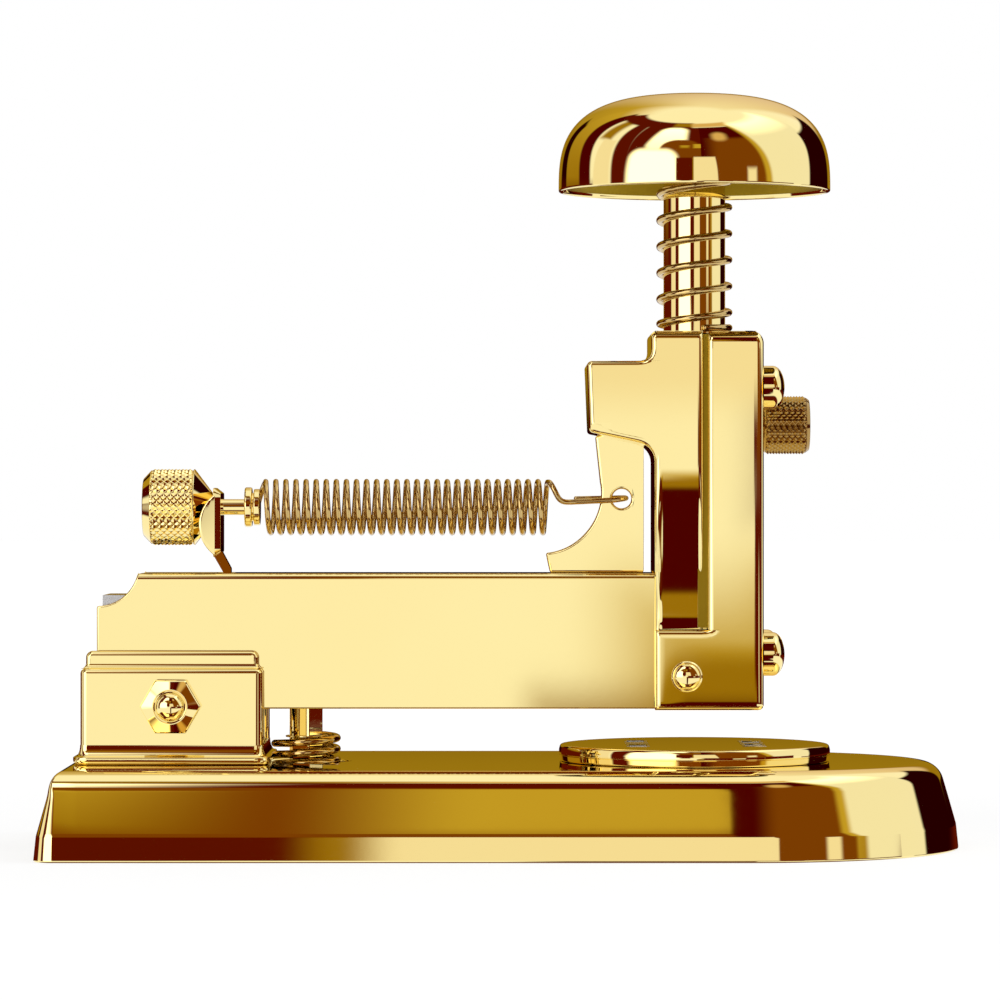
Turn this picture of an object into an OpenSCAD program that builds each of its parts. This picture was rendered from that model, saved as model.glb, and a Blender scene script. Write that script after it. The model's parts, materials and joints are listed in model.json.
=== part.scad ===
// Desk stapler with a plunger cap, a swinging arm and a turning anvil.
// Origin: middle of the base, on the surface it stands on. +X to the paper end, +Z up. Millimetres.

/* [Base] */
// Length of the base
base_l = 160; // [152:1:180]
// Width of the base
base_w = 76.8; // [70:0.2:84]
// Height of the base's flat top
base_h = 15.2; // [14:0.2:18]
// Height of the upright skirt at the bottom edge
base_skirt = 4.3; // [3:0.1:5]
// Slant of the sides from upright, in degrees
base_slant = 16; // [10:1:18]
// Radius of the rounded shoulder
base_shoulder = 3.8; // [3:0.1:4.2]
// Plan radius of the two rear corners
base_corner = 7; // [6.6:0.1:10]
// Distance from the outer edge to the hollow underneath
base_rim = 6; // [5:0.5:8]
// Thickness of the top wall
base_roof = 3.2; // [3:0.1:4]
// Thickness of the sole pad
pad_t = 1.2; // [0.8:0.1:1.6]
// Thickness of the sole plate
sole_t = 1; // [0.8:0.1:1.2]
// Distance from the outer edge to the sole
sole_rim = 3; // [2:0.5:4]

/* [Rear pivot] */
// Distance from the base's rear end to the pivot axis
pivot_set = 21.9; // [21:0.1:24]
// Height of the pivot axis over the arm's underside
pivot_up = 0.65; // [0:0.05:1.5]
// Diameter of the pivot bolt
bolt_d = 4.9; // [4:0.1:5.5]
// Width across the flats of the pivot nut and the bolt head
pivot_af = 9.2; // [8:0.1:10]
// Thickness of the pivot nut
pivot_nut_t = 3.6; // [3:0.1:4.5]
// Outside diameter of the pivot bush
bush_d = 8; // [7.5:0.1:9]
// Length of the pivot block
block_l = 31.75; // [30:0.25:33]
// Height of the pivot block's outer sides
block_h = 16.7; // [16:0.1:18]
// Thickness of each side of the block's stepped top
cheek_t = 2.1; // [1.6:0.1:2.6]
// Width of the step along the block's upper edge
block_step = 1.65; // [1:0.05:2]
// Height of the stepped top over the outer sides
cheek_up = 3.05; // [2:0.05:4]
// Thickness of the block's floor
block_floor = 3.3; // [3:0.1:3.6]
// How far the foot stands out round the block
foot_out = 1.1; // [0.8:0.1:1.3]
// Thickness of the foot
foot_t = 1.4; // [1:0.1:2]
// Diameter of the two block screws
block_screw_d = 4; // [3:0.5:5]
// Distance from the pivot to each block screw
block_screw_set = 9; // [8:0.5:11]

/* [Arm] */
// Width of the arm
arm_w = 19; // [18:0.2:22]
// Height of the arm
arm_h = 23.65; // [22.5:0.05:26]
// Gap from the base's top to the arm's underside
arm_gap = 9.55; // [9:0.05:10.5]
// Distance from the pivot to the arm's rear end
arm_tail = 13.3; // [12:0.1:14.5]
// Sheet thickness of the arm
arm_t = 1.2; // [1:0.05:1.4]
// Radius of the arm's upper edges
arm_round = 1; // [0.5:0.1:1.5]
// Radius of the hollow notch at the rear end
notch_r = 7.3; // [6:0.1:8]
// Height of the notch's centre over the arm's top
notch_up = 1.6; // [1:0.1:2]
// Width of the slot for the follower's tongue
slot_w = 4.8; // [4:0.1:6]
// Crown width of the staples
crown_w = 12.8; // [12:0.1:13]
// Leg length of the staples
leg_h = 5.55; // [5:0.05:6]
// Thickness of the staple rail's sheet
rail_t = 1; // [0.8:0.1:1.2]

/* [Head] */
// Distance from the base's front end to the plunger axis
head_set = 46.55; // [45:0.05:50]
// Distance from the plunger axis to the head's front face
head_front = 11.65; // [11.2:0.05:13]
// Height of the head over the arm's top
head_rise = 42.4; // [42:0.1:46]
// Sheet thickness of the front cover
cover_t = 1; // [0.8:0.1:1.2]
// Height of the cover's long lower sides
cover_skirt = 14; // [12:0.5:18]
// Sheet thickness of the housing
housing_t = 1.3; // [1.1:0.1:1.5]
// Thickness of the head's top walls
head_roof = 1.2; // [1:0.1:1.5]
// Plan radius of the cover's front edges
cover_round = 1; // [0.5:0.1:1.5]
// Width of the seam between housing and cover
seam_w = 1.25; // [0.8:0.05:1.6]
// Distance from the plunger axis to the housing's front edge
seam_set = 0.9; // [0.5:0.05:1.5]
// Distance from the plunger axis to the bulge's rear face
bulge_reach = 19.25; // [18.5:0.05:21]
// Drop from the head's top to the bulge's top
bulge_drop = 5.3; // [4:0.1:6]
// Height of the bulge's rear face
bulge_h = 12.4; // [12:0.1:13]
// Radius of the hollow under the bulge
bulge_fillet = 3.5; // [2.5:0.1:4]
// Diameter of the cover screws' heads
cover_screw_head = 7.7; // [6.5:0.1:7.8]
// Height of the cover screws' heads
cover_screw_t = 3.8; // [2.5:0.1:4]
// Diameter of the cover screws' shanks
cover_screw_d = 2.5; // [2:0.1:2.6]
// Distance from the middle to each cover screw
cover_screw_y = 8.3; // [8.2:0.05:8.5]
// Drop from the head's top to the upper cover screws
cover_screw_drop = 9.9; // [8:0.1:11]
// Height of the lower cover screws over the arm's underside
cover_screw_up = 9.55; // [8:0.05:12]
// Diameter of the domed rivet heads
rivet_head = 5.3; // [4.5:0.1:6]
// Diameter of the rivet shanks
rivet_d = 3.2; // [2.5:0.1:3.5]
// Distance from the plunger axis back to the rivets
rivet_back = 1.8; // [1:0.1:3]
// Height of the rivets over the arm's underside
rivet_up = 5.75; // [5:0.05:8]

/* [Plunger] */
// Travel of the plunger
plunge = 12; // [10:0.5:13]
// Diameter of the plunger rod
rod_d = 10.9; // [10:0.1:11.4]
// Diameter of the rod's lower spigot
spigot_d = 7; // [6:0.1:8]
// Height of the ram
ram_h = 8.7; // [8:0.1:9]
// Diameter of the ram's cross pin
ram_pin_d = 2.5; // [2:0.1:3]
// Thickness of the driver blade
blade_t = 0.8; // [0.6:0.05:1]
// Diameter of the press cap
cap_d = 48; // [44:0.5:54]
// Height of the press cap
cap_h = 17.1; // [15:0.1:19]
// Height of the cap's rim over the head
cap_lift = 24.9; // [22:0.1:28]
// Roundness of the cap: 2 is an ellipse, more is squarer
cap_power = 3; // [2.4:0.1:3.6]
// Wall of the press cap
cap_t = 1.4; // [1.2:0.1:1.8]
// Diameter of the cap hub
hub_d = 18; // [17:0.5:22]
// Height of the hub's lower face over the cap's rim
hub_up = 3.8; // [3:0.1:5]

/* [Anvil] */
// Diameter of the anvil disc
anvil_d = 47.9; // [44:0.1:52]
// Thickness of the anvil disc
anvil_t = 2.73; // [2.5:0.01:3.2]
// Chamfer under the disc's edge
anvil_chamfer = 0.7; // [0.4:0.1:1]
// Diameter of the anvil stud
stud_d = 8; // [7:0.1:9]
// Width of a clinch plate along the arm
clinch_w = 4.2; // [3.5:0.1:5]
// Length of a clinch plate across the arm
clinch_l = 19; // [17:0.5:22]
// Thickness of a clinch plate
clinch_t = 1.2; // [1:0.1:1.4]

/* [Follower] */
// Distance from the pivot to the follower bracket's front face
bracket_set = 8.1; // [7:0.1:10]
// Sheet thickness of the bracket
bracket_t = 1.28; // [1:0.02:1.4]
// Half of the bracket's width
bracket_half = 6.6; // [6.2:0.1:7.5]
// Height of the feed spring's axis over the arm's top
feed_up = 11.6; // [11:0.1:13]
// Diameter of the tension rod
rod_feed_d = 2.8; // [2.4:0.1:3.2]
// Diameter of the rear knob
knob_d = 13.6; // [12:0.1:15]
// Length of the knob's knurled barrel
knob_l = 7.8; // [6:0.1:10]
// Length of the knob's front cone
knob_cone = 3.7; // [3:0.1:5]
// Diameter of the spring plug's flange
plug_flange_d = 7.1; // [6.8:0.1:7.6]
// Diameter of the plug inside the spring
plug_d = 7.2; // [6.8:0.1:7.4]

/* [Springs] */
// Wire of the feed spring
feed_wire = 0.95; // [0.8:0.05:1]
// Outside diameter of the feed spring
feed_od = 10; // [9.8:0.1:10.8]
// Pitch of the feed spring's coils
feed_pitch = 1.78; // [1.7:0.02:2.1]
// Wire of the plunger spring
press_wire = 1.4; // [1.2:0.05:1.6]
// Pitch of the plunger spring's coils
press_pitch = 4.6; // [4:0.1:5.5]
// Wire of the lift spring
lift_wire = 1.45; // [1.2:0.05:1.5]
// Outside diameter of the lift spring
lift_od = 12.3; // [11.6:0.1:12.6]
// Pitch of the lift spring's coils
lift_pitch = 2; // [1.95:0.05:2.3]

/* [Stop post] */
// Distance from the pivot to the stop post
post_set = 22.9; // [22.7:0.1:25]
// Width across the flats of the post's hex
post_af = 6; // [5.4:0.1:6.4]
// Height of the post's hex
post_hex_h = 3.95; // [3.5:0.05:4.5]
// Diameter of the post's shank
post_d = 5; // [4.5:0.1:5.2]
// Depth of the spring's seat in the base
seat_deep = 2.5; // [2:0.1:2.8]

/* [Anchor plate] */
// Distance from the plunger axis back to the plate's lower tip
anchor_reach = 26.3; // [25:0.1:28]
// Distance from the plunger axis back to the plate's narrow neck
anchor_neck = 16.8; // [16:0.1:18]
// Distance from the plunger axis back to the hook's hole
hook_back = 12.85; // [12:0.05:13.5]
// Diameter of the hook's hole
hook_hole_d = 3.4; // [3:0.1:4]
// Thickness of the plate
anchor_t = 1.2; // [1:0.1:1.6]

/* [Thumbscrew] */
// Diameter of the thumbscrew's head
thumb_d = 10.3; // [9:0.1:10.8]
// Length of the thumbscrew's head
thumb_l = 8.3; // [6:0.1:10]
// Diameter of the thumbscrew's shank
thumb_shank = 4; // [3:0.1:4.4]
// Drop from the head's top to the thumbscrew
thumb_drop = 16.3; // [16:0.1:17]

/* [Clearances] */
// Radial clearance of turning and sliding fits
run_fit = 0.06; // [0.03:0.01:0.1]
// Radial clearance of fixed pins and screws
pin_fit = 0.04; // [0.02:0.01:0.08]
// Radial clearance of screws in plain holes
hole_fit = 0.2; // [0.1:0.05:0.3]
// Gap between pieces that pass each other
pass_gap = 0.3; // [0.25:0.01:0.4]

/* [Hidden] */
$fn = 96;
GOLD = "#E8C35A";
PALE_GOLD = "#F3DC94";
SPRING_GOLD = "#CDA84C";
STEEL = "#B9BCC0";
BRONZE = "#B58A4A";
RUBBER = "#2B2724";
EPS = 0.5;
EDGE_LAP = 0.01;

// Base and sole levels. The bosses leave room for the nuts under them
rear_x = -base_l / 2;
front_arc_x = base_l / 2 - base_w / 2;
shoulder_z = base_h - base_shoulder;
shoulder_in = (base_shoulder + (shoulder_z - base_skirt) * sin(base_slant)) / cos(base_slant);
sole_top = pad_t + sole_t;
roof_z = base_h - base_roof;
nut_room = 1;
end_show = 0.5;
anvil_nut_af = 13;
anvil_nut_t = 3;
anvil_washer_t = 0.5;
anvil_washer_out = 3;
boss_z = sole_top + nut_room + end_show + anvil_nut_t + anvil_washer_t + pass_gap;
boss_wall = 5;
seat_room = 3;
least_corner = 1;

// Arm levels
pivot_x = rear_x + pivot_set;
arm_bottom = base_h + arm_gap;
arm_top = arm_bottom + arm_h;
arm_half = arm_w / 2;
arm_in = arm_half - arm_t;
arm_rear_x = pivot_x - arm_tail;
floor_top = arm_bottom + arm_t;
pivot_z = arm_bottom + pivot_up;
ear_wall = 1.6;
ear_r = bush_d / 2 + ear_wall;
bush_show = 0.2;

// Pivot block
channel_gap = 0.4;
channel_half = arm_half + channel_gap;
cheek_half = channel_half + cheek_t;
block_half = cheek_half + block_step;
block_x0 = pivot_x - block_l / 2;
block_x1 = pivot_x + block_l / 2;
block_top = base_h + block_h;
cheek_top = block_top + cheek_up;
cheek_set = 0.85;
block_round = 1.2;
block_skin = 0.2;
block_bore_z = base_h + block_floor - block_skin;
block_head_d = 1.8 * block_screw_d;
block_head_t = 2.4;
bolt_show = 0.6;
bolt_dome = 1.2;
hex_crown = 0.2;
hex_over = 0.35;

// Head: half-widths grow outwards from the arm
cover_gap = 0.4;
cover_drop = 0.15;
rod_room = 0.6;
crown_out = 0.65;
fit_slack = 0.1;
head_x = base_l / 2 - head_set;
strip_in = arm_half + pass_gap;
strip_out = strip_in + housing_t;
cover_in = strip_out + cover_gap;
head_half = cover_in + cover_t;
column_in = head_half - housing_t;
head_top = arm_top + head_rise;
cover_bottom = arm_bottom - cover_drop;
front_x = head_x + head_front;
cover_in_x = front_x - cover_t;
column_x = head_x - rod_d / 2 - rod_room - housing_t;
crown_x = column_x - crown_out;
seam_x0 = head_x + seam_set;
seam_x1 = seam_x0 + seam_w;
bulge_x = head_x - bulge_reach;
bulge_top = head_top - bulge_drop;
bulge_bottom = bulge_top - bulge_h;
bulge_lean = 0.5;
bulge_sink = 2.2;
crown_fillet = 1.5;
strip_lift = 1.5;
rod_hole_room = 1;
rod_hole = rod_d + rod_hole_room;

// Driver blade and its guide
blade_fit = 0.08;
blade_x1 = cover_in_x - blade_fit;
blade_x0 = blade_x1 - blade_t;
groove_x = blade_x0 - blade_fit;
blade_half = crown_w / 2 - 0.1;
guide_l = 3.24;
guide_rear_x = groove_x - guide_l;
window_half = crown_w / 2 + 0.2;
blade_short = 0.3;
blade_bottom = cover_bottom + plunge + blade_short;

// Ram, guide block and plunger
ram_room = 0.6;
ram_z0 = arm_top + plunge + ram_room;
ram_z1 = ram_z0 + ram_h;
ram_mid = ram_z0 + ram_h / 2;
ram_half = strip_in - pass_gap;
ram_x0 = column_x + housing_t + pass_gap;
ram_floor = 1.4;
ram_stud_d = 3;
guide_z0 = ram_z1 + pass_gap;
guide_z1 = head_top - head_roof;
guide_half = column_in - fit_slack;
guide_x0 = column_x + housing_t + fit_slack;
guide_tail_half = 6;
joggle_drop = 4;
joggle_lap = 1.4;
joggle_z1 = guide_z0 - joggle_drop;
joggle_z0 = arm_top - joggle_lap;
rim_w = 0.9;
rim_up = 6;
rim_down = 5;
rim_z0 = joggle_z0 + rim_up;
rim_z1 = joggle_z1 - rim_down;
rod_bore = rod_d / 2 + run_fit;
cap_rim = head_top + cap_lift;
cap_top = cap_rim + cap_h;
hub_z0 = cap_rim + hub_up;
hub_cover = 0.8;
hub_z1 = cap_top - cap_t - hub_cover;
rod_cover = 2.5;
rod_top = hub_z1 - rod_cover;

// Follower
rail_inset = 0.8;
rail_half = crown_w / 2 - rail_inset;
rail_top = floor_top + leg_h;
rail_set = 2;
follower_gap = 0.4;
follower_half = arm_in - follower_gap;
follower_t = 1;
follower_in = follower_half - follower_t;
follower_drop = 2.6;
follower_top = arm_top - arm_t - follower_drop;
lip_gap = 0.35;
lip_z = follower_top + lip_gap;
nose_x1 = blade_x0 - pass_gap;
nose_l = 19;
channel_inset = 0.9;
channel_short = 1.5;
channel_x0 = arm_rear_x + channel_inset;
channel_x1 = guide_rear_x - channel_short;
channel_z0 = rail_top + channel_short;
bracket_x1 = pivot_x + bracket_set;
bracket_x0 = bracket_x1 - bracket_t;
bracket_foot = 2.8;
bracket_brow = 3.4;
bracket_z0 = arm_top + bracket_foot;
bracket_z1 = feed_z() + bracket_brow;
bracket_corner = 1.5;
wing_h = 10.3;
wing_out = 2.5;
wing_half_t = 0.4;
tongue_step = 1.6;
tongue_lap = 2;
tongue_x1 = bracket_x1 + tongue_step;
tongue_half = slot_w / 2 - pass_gap;
slot_room = 0.4;
slot_x1 = tongue_x1 + slot_room;
knob_bevel = 1.3;
knob_face_set = 1.9;
knob_tip = 1;
knob_bore = knob_cone + 0.6 * knob_l;
knob_x1 = bracket_x0 - pass_gap;
plug_set = 4;
plug_flange_t = 1.4;
plug_collar_t = 1.3;
plug_collar_in = 0.7;
plug_l = 4.5;
plug_x0 = bracket_x1 + plug_set;
plug_x1 = plug_x0 + plug_flange_t;
plug_x2 = plug_x1 + plug_collar_t;
coil_set = 0.5;
coil_x0 = plug_x2 + coil_set;

// Anchor plate and the feed spring's hook
anchor_tip_x = head_x - anchor_reach;
anchor_edge_x = head_x - anchor_neck;
anchor_back = 2.05;
anchor_front_x = column_x - anchor_back;
anchor_arc_up = 2.1;
anchor_arc_z = feed_z() + anchor_arc_up;
anchor_foot = 3.5;
anchor_sink = 7;
anchor_top = bulge_bottom + anchor_sink;
anchor_step = 0.6;
anchor_lobe = 1.2;
anchor_slot_room = 2;
anchor_slot_up = 3;
hook_x = head_x - hook_back;
hook_up = 1.5;
hook_z = feed_z() + hook_up;
hook_gap = 0.25;
hook_bend = 1;
hook_dip = 0.5;
hook_rise = 1.2;
hook_run = 3;
coil_lap = 0.8;
coil_x1 = anchor_tip_x + coil_lap;

// Anvil
anvil_z0 = base_h + pass_gap;
anvil_z1 = anvil_z0 + anvil_t;
anvil_break = 0.3;
clinch_set = (blade_x0 + blade_x1) / 2 - head_x;
clinch_land = 1.2;
trough_r = 4;
trough_deep = 0.6;
trough_l = 4;
closed_trough_y = 4.6;
open_trough_y = 7;
anvil_washer_z = boss_z - pass_gap - anvil_washer_t;

// Stop post
post_x = pivot_x + post_set;
post_turn = 12;
post_step = 1;
post_spigot_d = post_d - post_step;
washer_t = 0.4;
washer_z = arm_bottom - post_hex_h - washer_t;
seat_z = base_h - seat_deep;
post_swing = 1.35;
post_hole_r = post_d / 2 + post_swing;
post_nut_af = 10;
post_nut_t = 2.6;
post_nut_z = boss_z - pass_gap;

// Screws and rivets
thumb_z = head_top - thumb_drop;
thumb_room = 1;
thumb_bevel = 0.6;
thumb_tip_x = head_x + rod_d / 2 + thumb_room;
cover_screw_z = [arm_bottom + cover_screw_up, head_top - cover_screw_drop];
screw_wall = 0.7;
screw_round = 1.2;
screw_slot_deep = 1.3;
screw_slot_w = 1.2;
cover_screw_tip_x = guide_rear_x + screw_wall;
rivet_x = head_x - rivet_back;
rivet_z = arm_bottom + rivet_up;
rivet_dome = 1.5;
press_spring_gap = 0.18;
root_gap = 0.2;

function feed_z() = arm_top + feed_up;

// Wound wire: rings along a path, six sides, joined by triangles
WIRE_SIDES = 6;
RINGS_PER_TURN = 8;
function unit(v) = v / norm(v);
function across(v, t) = unit(v - (v * t) * t);
function heading(p, i) = unit(p[min(i + 1, len(p) - 1)] - p[max(i - 1, 0)]);
function ring_axes(p, first) =
    [for (i = 0, n = across(first, heading(p, 0)); i < len(p);
        i = i + 1, n = i < len(p) ? across(n, heading(p, i)) : n) n];
function ring(centre, t, n, r) =
    [for (k = [0 : WIRE_SIDES - 1])
        let (a = 360 * (k + 0.5) / WIRE_SIDES) centre + r * (cos(a) * n + sin(a) * cross(t, n))];
function side_faces(rings) =
    [for (i = [0 : rings - 2], k = [0 : WIRE_SIDES - 1], half = [0, 1])
        let (a = i * WIRE_SIDES + k, b = i * WIRE_SIDES + (k + 1) % WIRE_SIDES)
        half == 0 ? [a, a + WIRE_SIDES, b] : [b, a + WIRE_SIDES, b + WIRE_SIDES]];
function end_faces(rings) =
    [for (k = [1 : WIRE_SIDES - 2], end = [0, 1])
        let (o = end * (rings - 1) * WIRE_SIDES)
        end == 0 ? [o, o + k, o + k + 1] : [o, o + k + 1, o + k]];
// Turns of a coil about Z, from height z0 to z1, through the middles of its chords
function coil_turns(r, z0, z1, pitch, phase) =
    let (
        rings = max(RINGS_PER_TURN, round(RINGS_PER_TURN * (z1 - z0) / pitch)),
        sweep = 360 * (z1 - z0) / pitch,
        corner = r / cos(180 / RINGS_PER_TURN)
    )
    [for (i = [0 : rings])
        [corner * cos(phase + sweep * i / rings), corner * sin(phase + sweep * i / rings),
         z0 + (z1 - z0) * i / rings]];
// A coil between two seats, with a straight leg of one wire diameter at each end
function seated_coil(r, z0, z1, wire, pitch, phase) =
    let (turns = coil_turns(r, z0 + wire, z1 - wire, pitch, phase), last = turns[len(turns) - 1])
    concat([[turns[0].x, turns[0].y, z0]], turns, [[last.x, last.y, z1]]);
// Least distance between stretches of wire half a turn or more apart, less the wire
function least_gap(p, wire) =
    min([for (i = [0 : len(p) - 6], j = [i + 5 : len(p) - 1]) norm(p[i] - p[j])]) - wire;

module wire_along(path, wire, first) {
    axes = ring_axes(path, first);
    points = [for (i = [0 : len(path) - 1], v = ring(path[i], heading(path, i), axes[i], wire / 2)) v];
    polyhedron(points, concat(side_faces(len(path)), end_faces(len(path))), convexity = 10);
}

// Helper shapes
module rod_x(d, x0, x1) {
    translate([x0, 0, 0]) rotate([0, 90, 0]) cylinder(d = d, h = x1 - x0);
}
module rod_y(d, y0, y1) {
    translate([0, y1, 0]) rotate([90, 0, 0]) cylinder(d = d, h = y1 - y0);
}
module rod_z(d, z0, z1) {
    translate([0, 0, z0]) cylinder(d = d, h = z1 - z0);
}
module slab(x0, x1, half, z0, z1) {
    translate([x0, -half, z0]) cube([x1 - x0, 2 * half, z1 - z0]);
}
// Flat shape in X and Z, given thickness across Y
module across_y(half) {
    rotate([90, 0, 0]) linear_extrude(2 * half, center = true) children();
}
// Flat shape in Y and Z, carried along X
module along_x(x0, x1) {
    translate([x0, 0, 0]) rotate([90, 0, 90]) linear_extrude(x1 - x0) children();
}
// Rectangle with four round corners
module round_rect(x0, x1, y0, y1, r) {
    translate([x0 + r, y0]) square([x1 - x0 - 2 * r, y1 - y0]);
    translate([x0, y0 + r]) square([x1 - x0, y1 - y0 - 2 * r]);
    for (x = [x0 + r, x1 - r], y = [y0 + r, y1 - r])
        translate([x, y]) circle(r);
}

// Base
module base_edge(reach) {
    cx = reach - shoulder_in;
    far = 2 * base_shoulder;
    slant = [cos(base_slant), sin(base_slant)];
    polygon([
        [0, 0], [reach, 0], [reach, base_skirt], [cx, shoulder_z] + base_shoulder * slant,
        [cx, shoulder_z], [cx, base_h], [0, base_h]
    ]);
    translate([cx, shoulder_z]) intersection() {
        circle(base_shoulder);
        polygon([[0, 0], far * slant, [far, far], [0, far]]);
    }
}
module base_solid() {
    corner_x = rear_x + base_corner;
    corner_y = base_w / 2 - base_corner;
    along_x(corner_x, front_arc_x) {
        base_edge(base_w / 2);
        mirror([1, 0]) base_edge(base_w / 2);
    }
    translate([front_arc_x, 0, 0]) rotate([0, 0, -90]) rotate_extrude(angle = 180) base_edge(base_w / 2);
    translate([corner_x, 0, 0]) mirror([1, 0, 0]) across_y(corner_y) base_edge(base_corner);
    translate([corner_x, corner_y, 0]) rotate([0, 0, 90]) rotate_extrude(angle = 90) base_edge(base_corner);
    translate([corner_x, -corner_y, 0]) rotate([0, 0, 180]) rotate_extrude(angle = 90) base_edge(base_corner);
}
module base_plan(inset) {
    half = base_w / 2 - inset;
    x0 = rear_x + inset;
    r = max(base_corner - inset, least_corner);
    translate([front_arc_x, 0]) circle(half);
    translate([x0 + r, -half]) square([front_arc_x - x0 - r, 2 * half]);
    translate([x0, r - half]) square([r + EPS, 2 * (half - r)]);
    for (side = [-1, 1])
        translate([x0 + r, side * (half - r)]) circle(r);
}
module base() {
    color(GOLD) difference() {
        base_solid();
        difference() {
            translate([0, 0, sole_top]) linear_extrude(roof_z - sole_top) base_plan(base_rim);
            translate([head_x, 0, 0]) rod_z(stud_d + 2 * boss_wall, boss_z, base_h);
            translate([post_x, 0, 0]) rod_z(lift_od + 2 * boss_wall, boss_z, base_h);
        }
        translate([0, 0, -EPS]) linear_extrude(sole_top + EPS) base_plan(sole_rim);
        translate([head_x, 0, 0]) rod_z(stud_d + 2 * run_fit, 0, base_h + EPS);
        translate([post_x, 0, 0]) rod_z(2 * post_hole_r, 0, base_h + EPS);
        translate([post_x, 0, 0]) rod_z(lift_od + seat_room, seat_z, base_h + EPS);
        for (side = [-1, 1])
            translate([pivot_x + side * block_screw_set, 0, 0]) {
                rod_z(block_screw_d + 2 * hole_fit, sole_top, base_h + EPS);
                rod_z(block_head_d + 2 * pass_gap, sole_top, roof_z);
            }
    }
}
module sole_plate() {
    color(STEEL) translate([0, 0, pad_t]) linear_extrude(sole_t) base_plan(sole_rim + hole_fit);
}
module sole_pad() {
    color(RUBBER) linear_extrude(pad_t) base_plan(sole_rim + hole_fit);
}

// Rear pivot
module pivot_block() {
    color(GOLD) difference() {
        union() {
            translate([0, 0, base_h]) linear_extrude(foot_t)
                round_rect(block_x0 - foot_out, block_x1 + foot_out,
                    -block_half - foot_out, block_half + foot_out, block_round);
            translate([0, 0, base_h]) linear_extrude(block_h)
                round_rect(block_x0, block_x1, -block_half, block_half, block_round);
            across_y(cheek_half)
                round_rect(block_x0 + cheek_set, block_x1 - cheek_set, base_h + foot_t, cheek_top,
                    block_round);
        }
        slab(block_x0 - foot_out - EPS, block_x1 + foot_out + EPS, channel_half, base_h + block_floor,
            cheek_top + EPS);
        translate([pivot_x, 0, pivot_z]) rod_y(bolt_d + 2 * pin_fit, -block_half - EPS, block_half + EPS);
        for (side = [-1, 1])
            translate([pivot_x + side * block_screw_set, 0, 0])
                rod_z(block_screw_d + 2 * pin_fit, base_h - EPS, block_bore_z);
        translate([post_x, 0, 0]) rod_z(lift_od + 2 * pass_gap, base_h - EPS, block_top);
    }
}
module block_screws() {
    color(STEEL) for (side = [-1, 1])
        translate([pivot_x + side * block_screw_set, 0, 0]) {
            rod_z(block_screw_d, roof_z, block_bore_z - block_skin);
            rod_z(block_head_d, roof_z - block_head_t, roof_z);
        }
}
module hex_head(af, t) {
    intersection() {
        cylinder(d = af / cos(30), h = t, $fn = 6);
        cylinder(d1 = af / cos(30) + 2 * t, d2 = af - hex_crown, h = t + hex_over);
    }
}
module pivot_bolt() {
    dome_r = (pow(bolt_d / 2, 2) + bolt_dome * bolt_dome) / (2 * bolt_dome);
    end_y = block_half + pivot_nut_t + bolt_show;
    color(GOLD) translate([pivot_x, 0, pivot_z]) {
        rod_y(bolt_d, -end_y, block_half);
        translate([0, block_half, 0]) rotate([-90, 0, 0]) hex_head(pivot_af, pivot_nut_t);
        intersection() {
            translate([0, dome_r - end_y - bolt_dome, 0]) sphere(dome_r);
            rod_y(bolt_d, -end_y - 2 * bolt_dome, -end_y);
        }
    }
}
module pivot_nut() {
    color(GOLD) translate([pivot_x, -block_half, pivot_z]) rotate([90, 0, 0]) difference() {
        hex_head(pivot_af, pivot_nut_t);
        translate([0, 0, -EPS]) cylinder(d = bolt_d + 2 * pin_fit, h = pivot_nut_t + 2 * EPS);
    }
}
module pivot_bush() {
    color(BRONZE) translate([pivot_x, 0, pivot_z]) difference() {
        rod_y(bush_d, -arm_half - bush_show, arm_half + bush_show);
        rod_y(bolt_d + 2 * run_fit, -arm_half - EPS, arm_half + EPS);
    }
}

// Lift spring, stop post and what they carry
module lift_spring() {
    path = seated_coil((lift_od - lift_wire) / 2, seat_z, washer_z, lift_wire, lift_pitch, 22.5);
    echo(str("lift_spring least gap to itself: ", least_gap(path, lift_wire), " mm"));
    color(SPRING_GOLD) translate([post_x, 0, 0]) wire_along(path, lift_wire, [1, 0, 0]);
}
module stop_post() {
    color(GOLD) translate([post_x, 0, 0]) {
        rod_z(post_spigot_d, arm_bottom - EPS, floor_top);
        rotate([0, 0, post_turn]) translate([0, 0, arm_bottom - post_hex_h])
            cylinder(d = post_af / cos(30), h = post_hex_h, $fn = 6);
        rod_z(post_d, post_nut_z - post_nut_t - end_show, arm_bottom - EPS);
    }
}
module spring_seat_washer() {
    color(GOLD) translate([post_x, 0, 0]) difference() {
        rod_z(lift_od, washer_z, washer_z + washer_t);
        rod_z(post_d + 2 * pin_fit, washer_z - EPS, washer_z + washer_t + EPS);
    }
}
module post_nut() {
    color(STEEL) translate([post_x, 0, 0]) difference() {
        translate([0, 0, post_nut_z - post_nut_t])
            cylinder(d = post_nut_af / cos(30), h = post_nut_t, $fn = 6);
        rod_z(post_d + 2 * pin_fit, post_nut_z - post_nut_t - EPS, post_nut_z + EPS);
    }
}

// Anvil
module clinch_pocket(x) {
    slab(x - clinch_w / 2 - pin_fit, x + clinch_w / 2 + pin_fit, clinch_l / 2 + pin_fit,
        anvil_z1 - clinch_t, anvil_z1 + EPS);
}
module anvil_disc() {
    r = anvil_d / 2;
    color(GOLD) difference() {
        translate([head_x, 0, anvil_z0]) rotate_extrude()
            polygon([
                [0, 0], [r - anvil_chamfer, 0], [r, anvil_chamfer],
                [r, anvil_t - anvil_break], [r - anvil_break, anvil_t], [0, anvil_t]
            ]);
        clinch_pocket(head_x + clinch_set);
        clinch_pocket(head_x - clinch_set);
        translate([head_x, 0, 0]) rod_z(stud_d + 2 * pin_fit, base_h, anvil_z0 + anvil_t / 2);
    }
}
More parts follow.
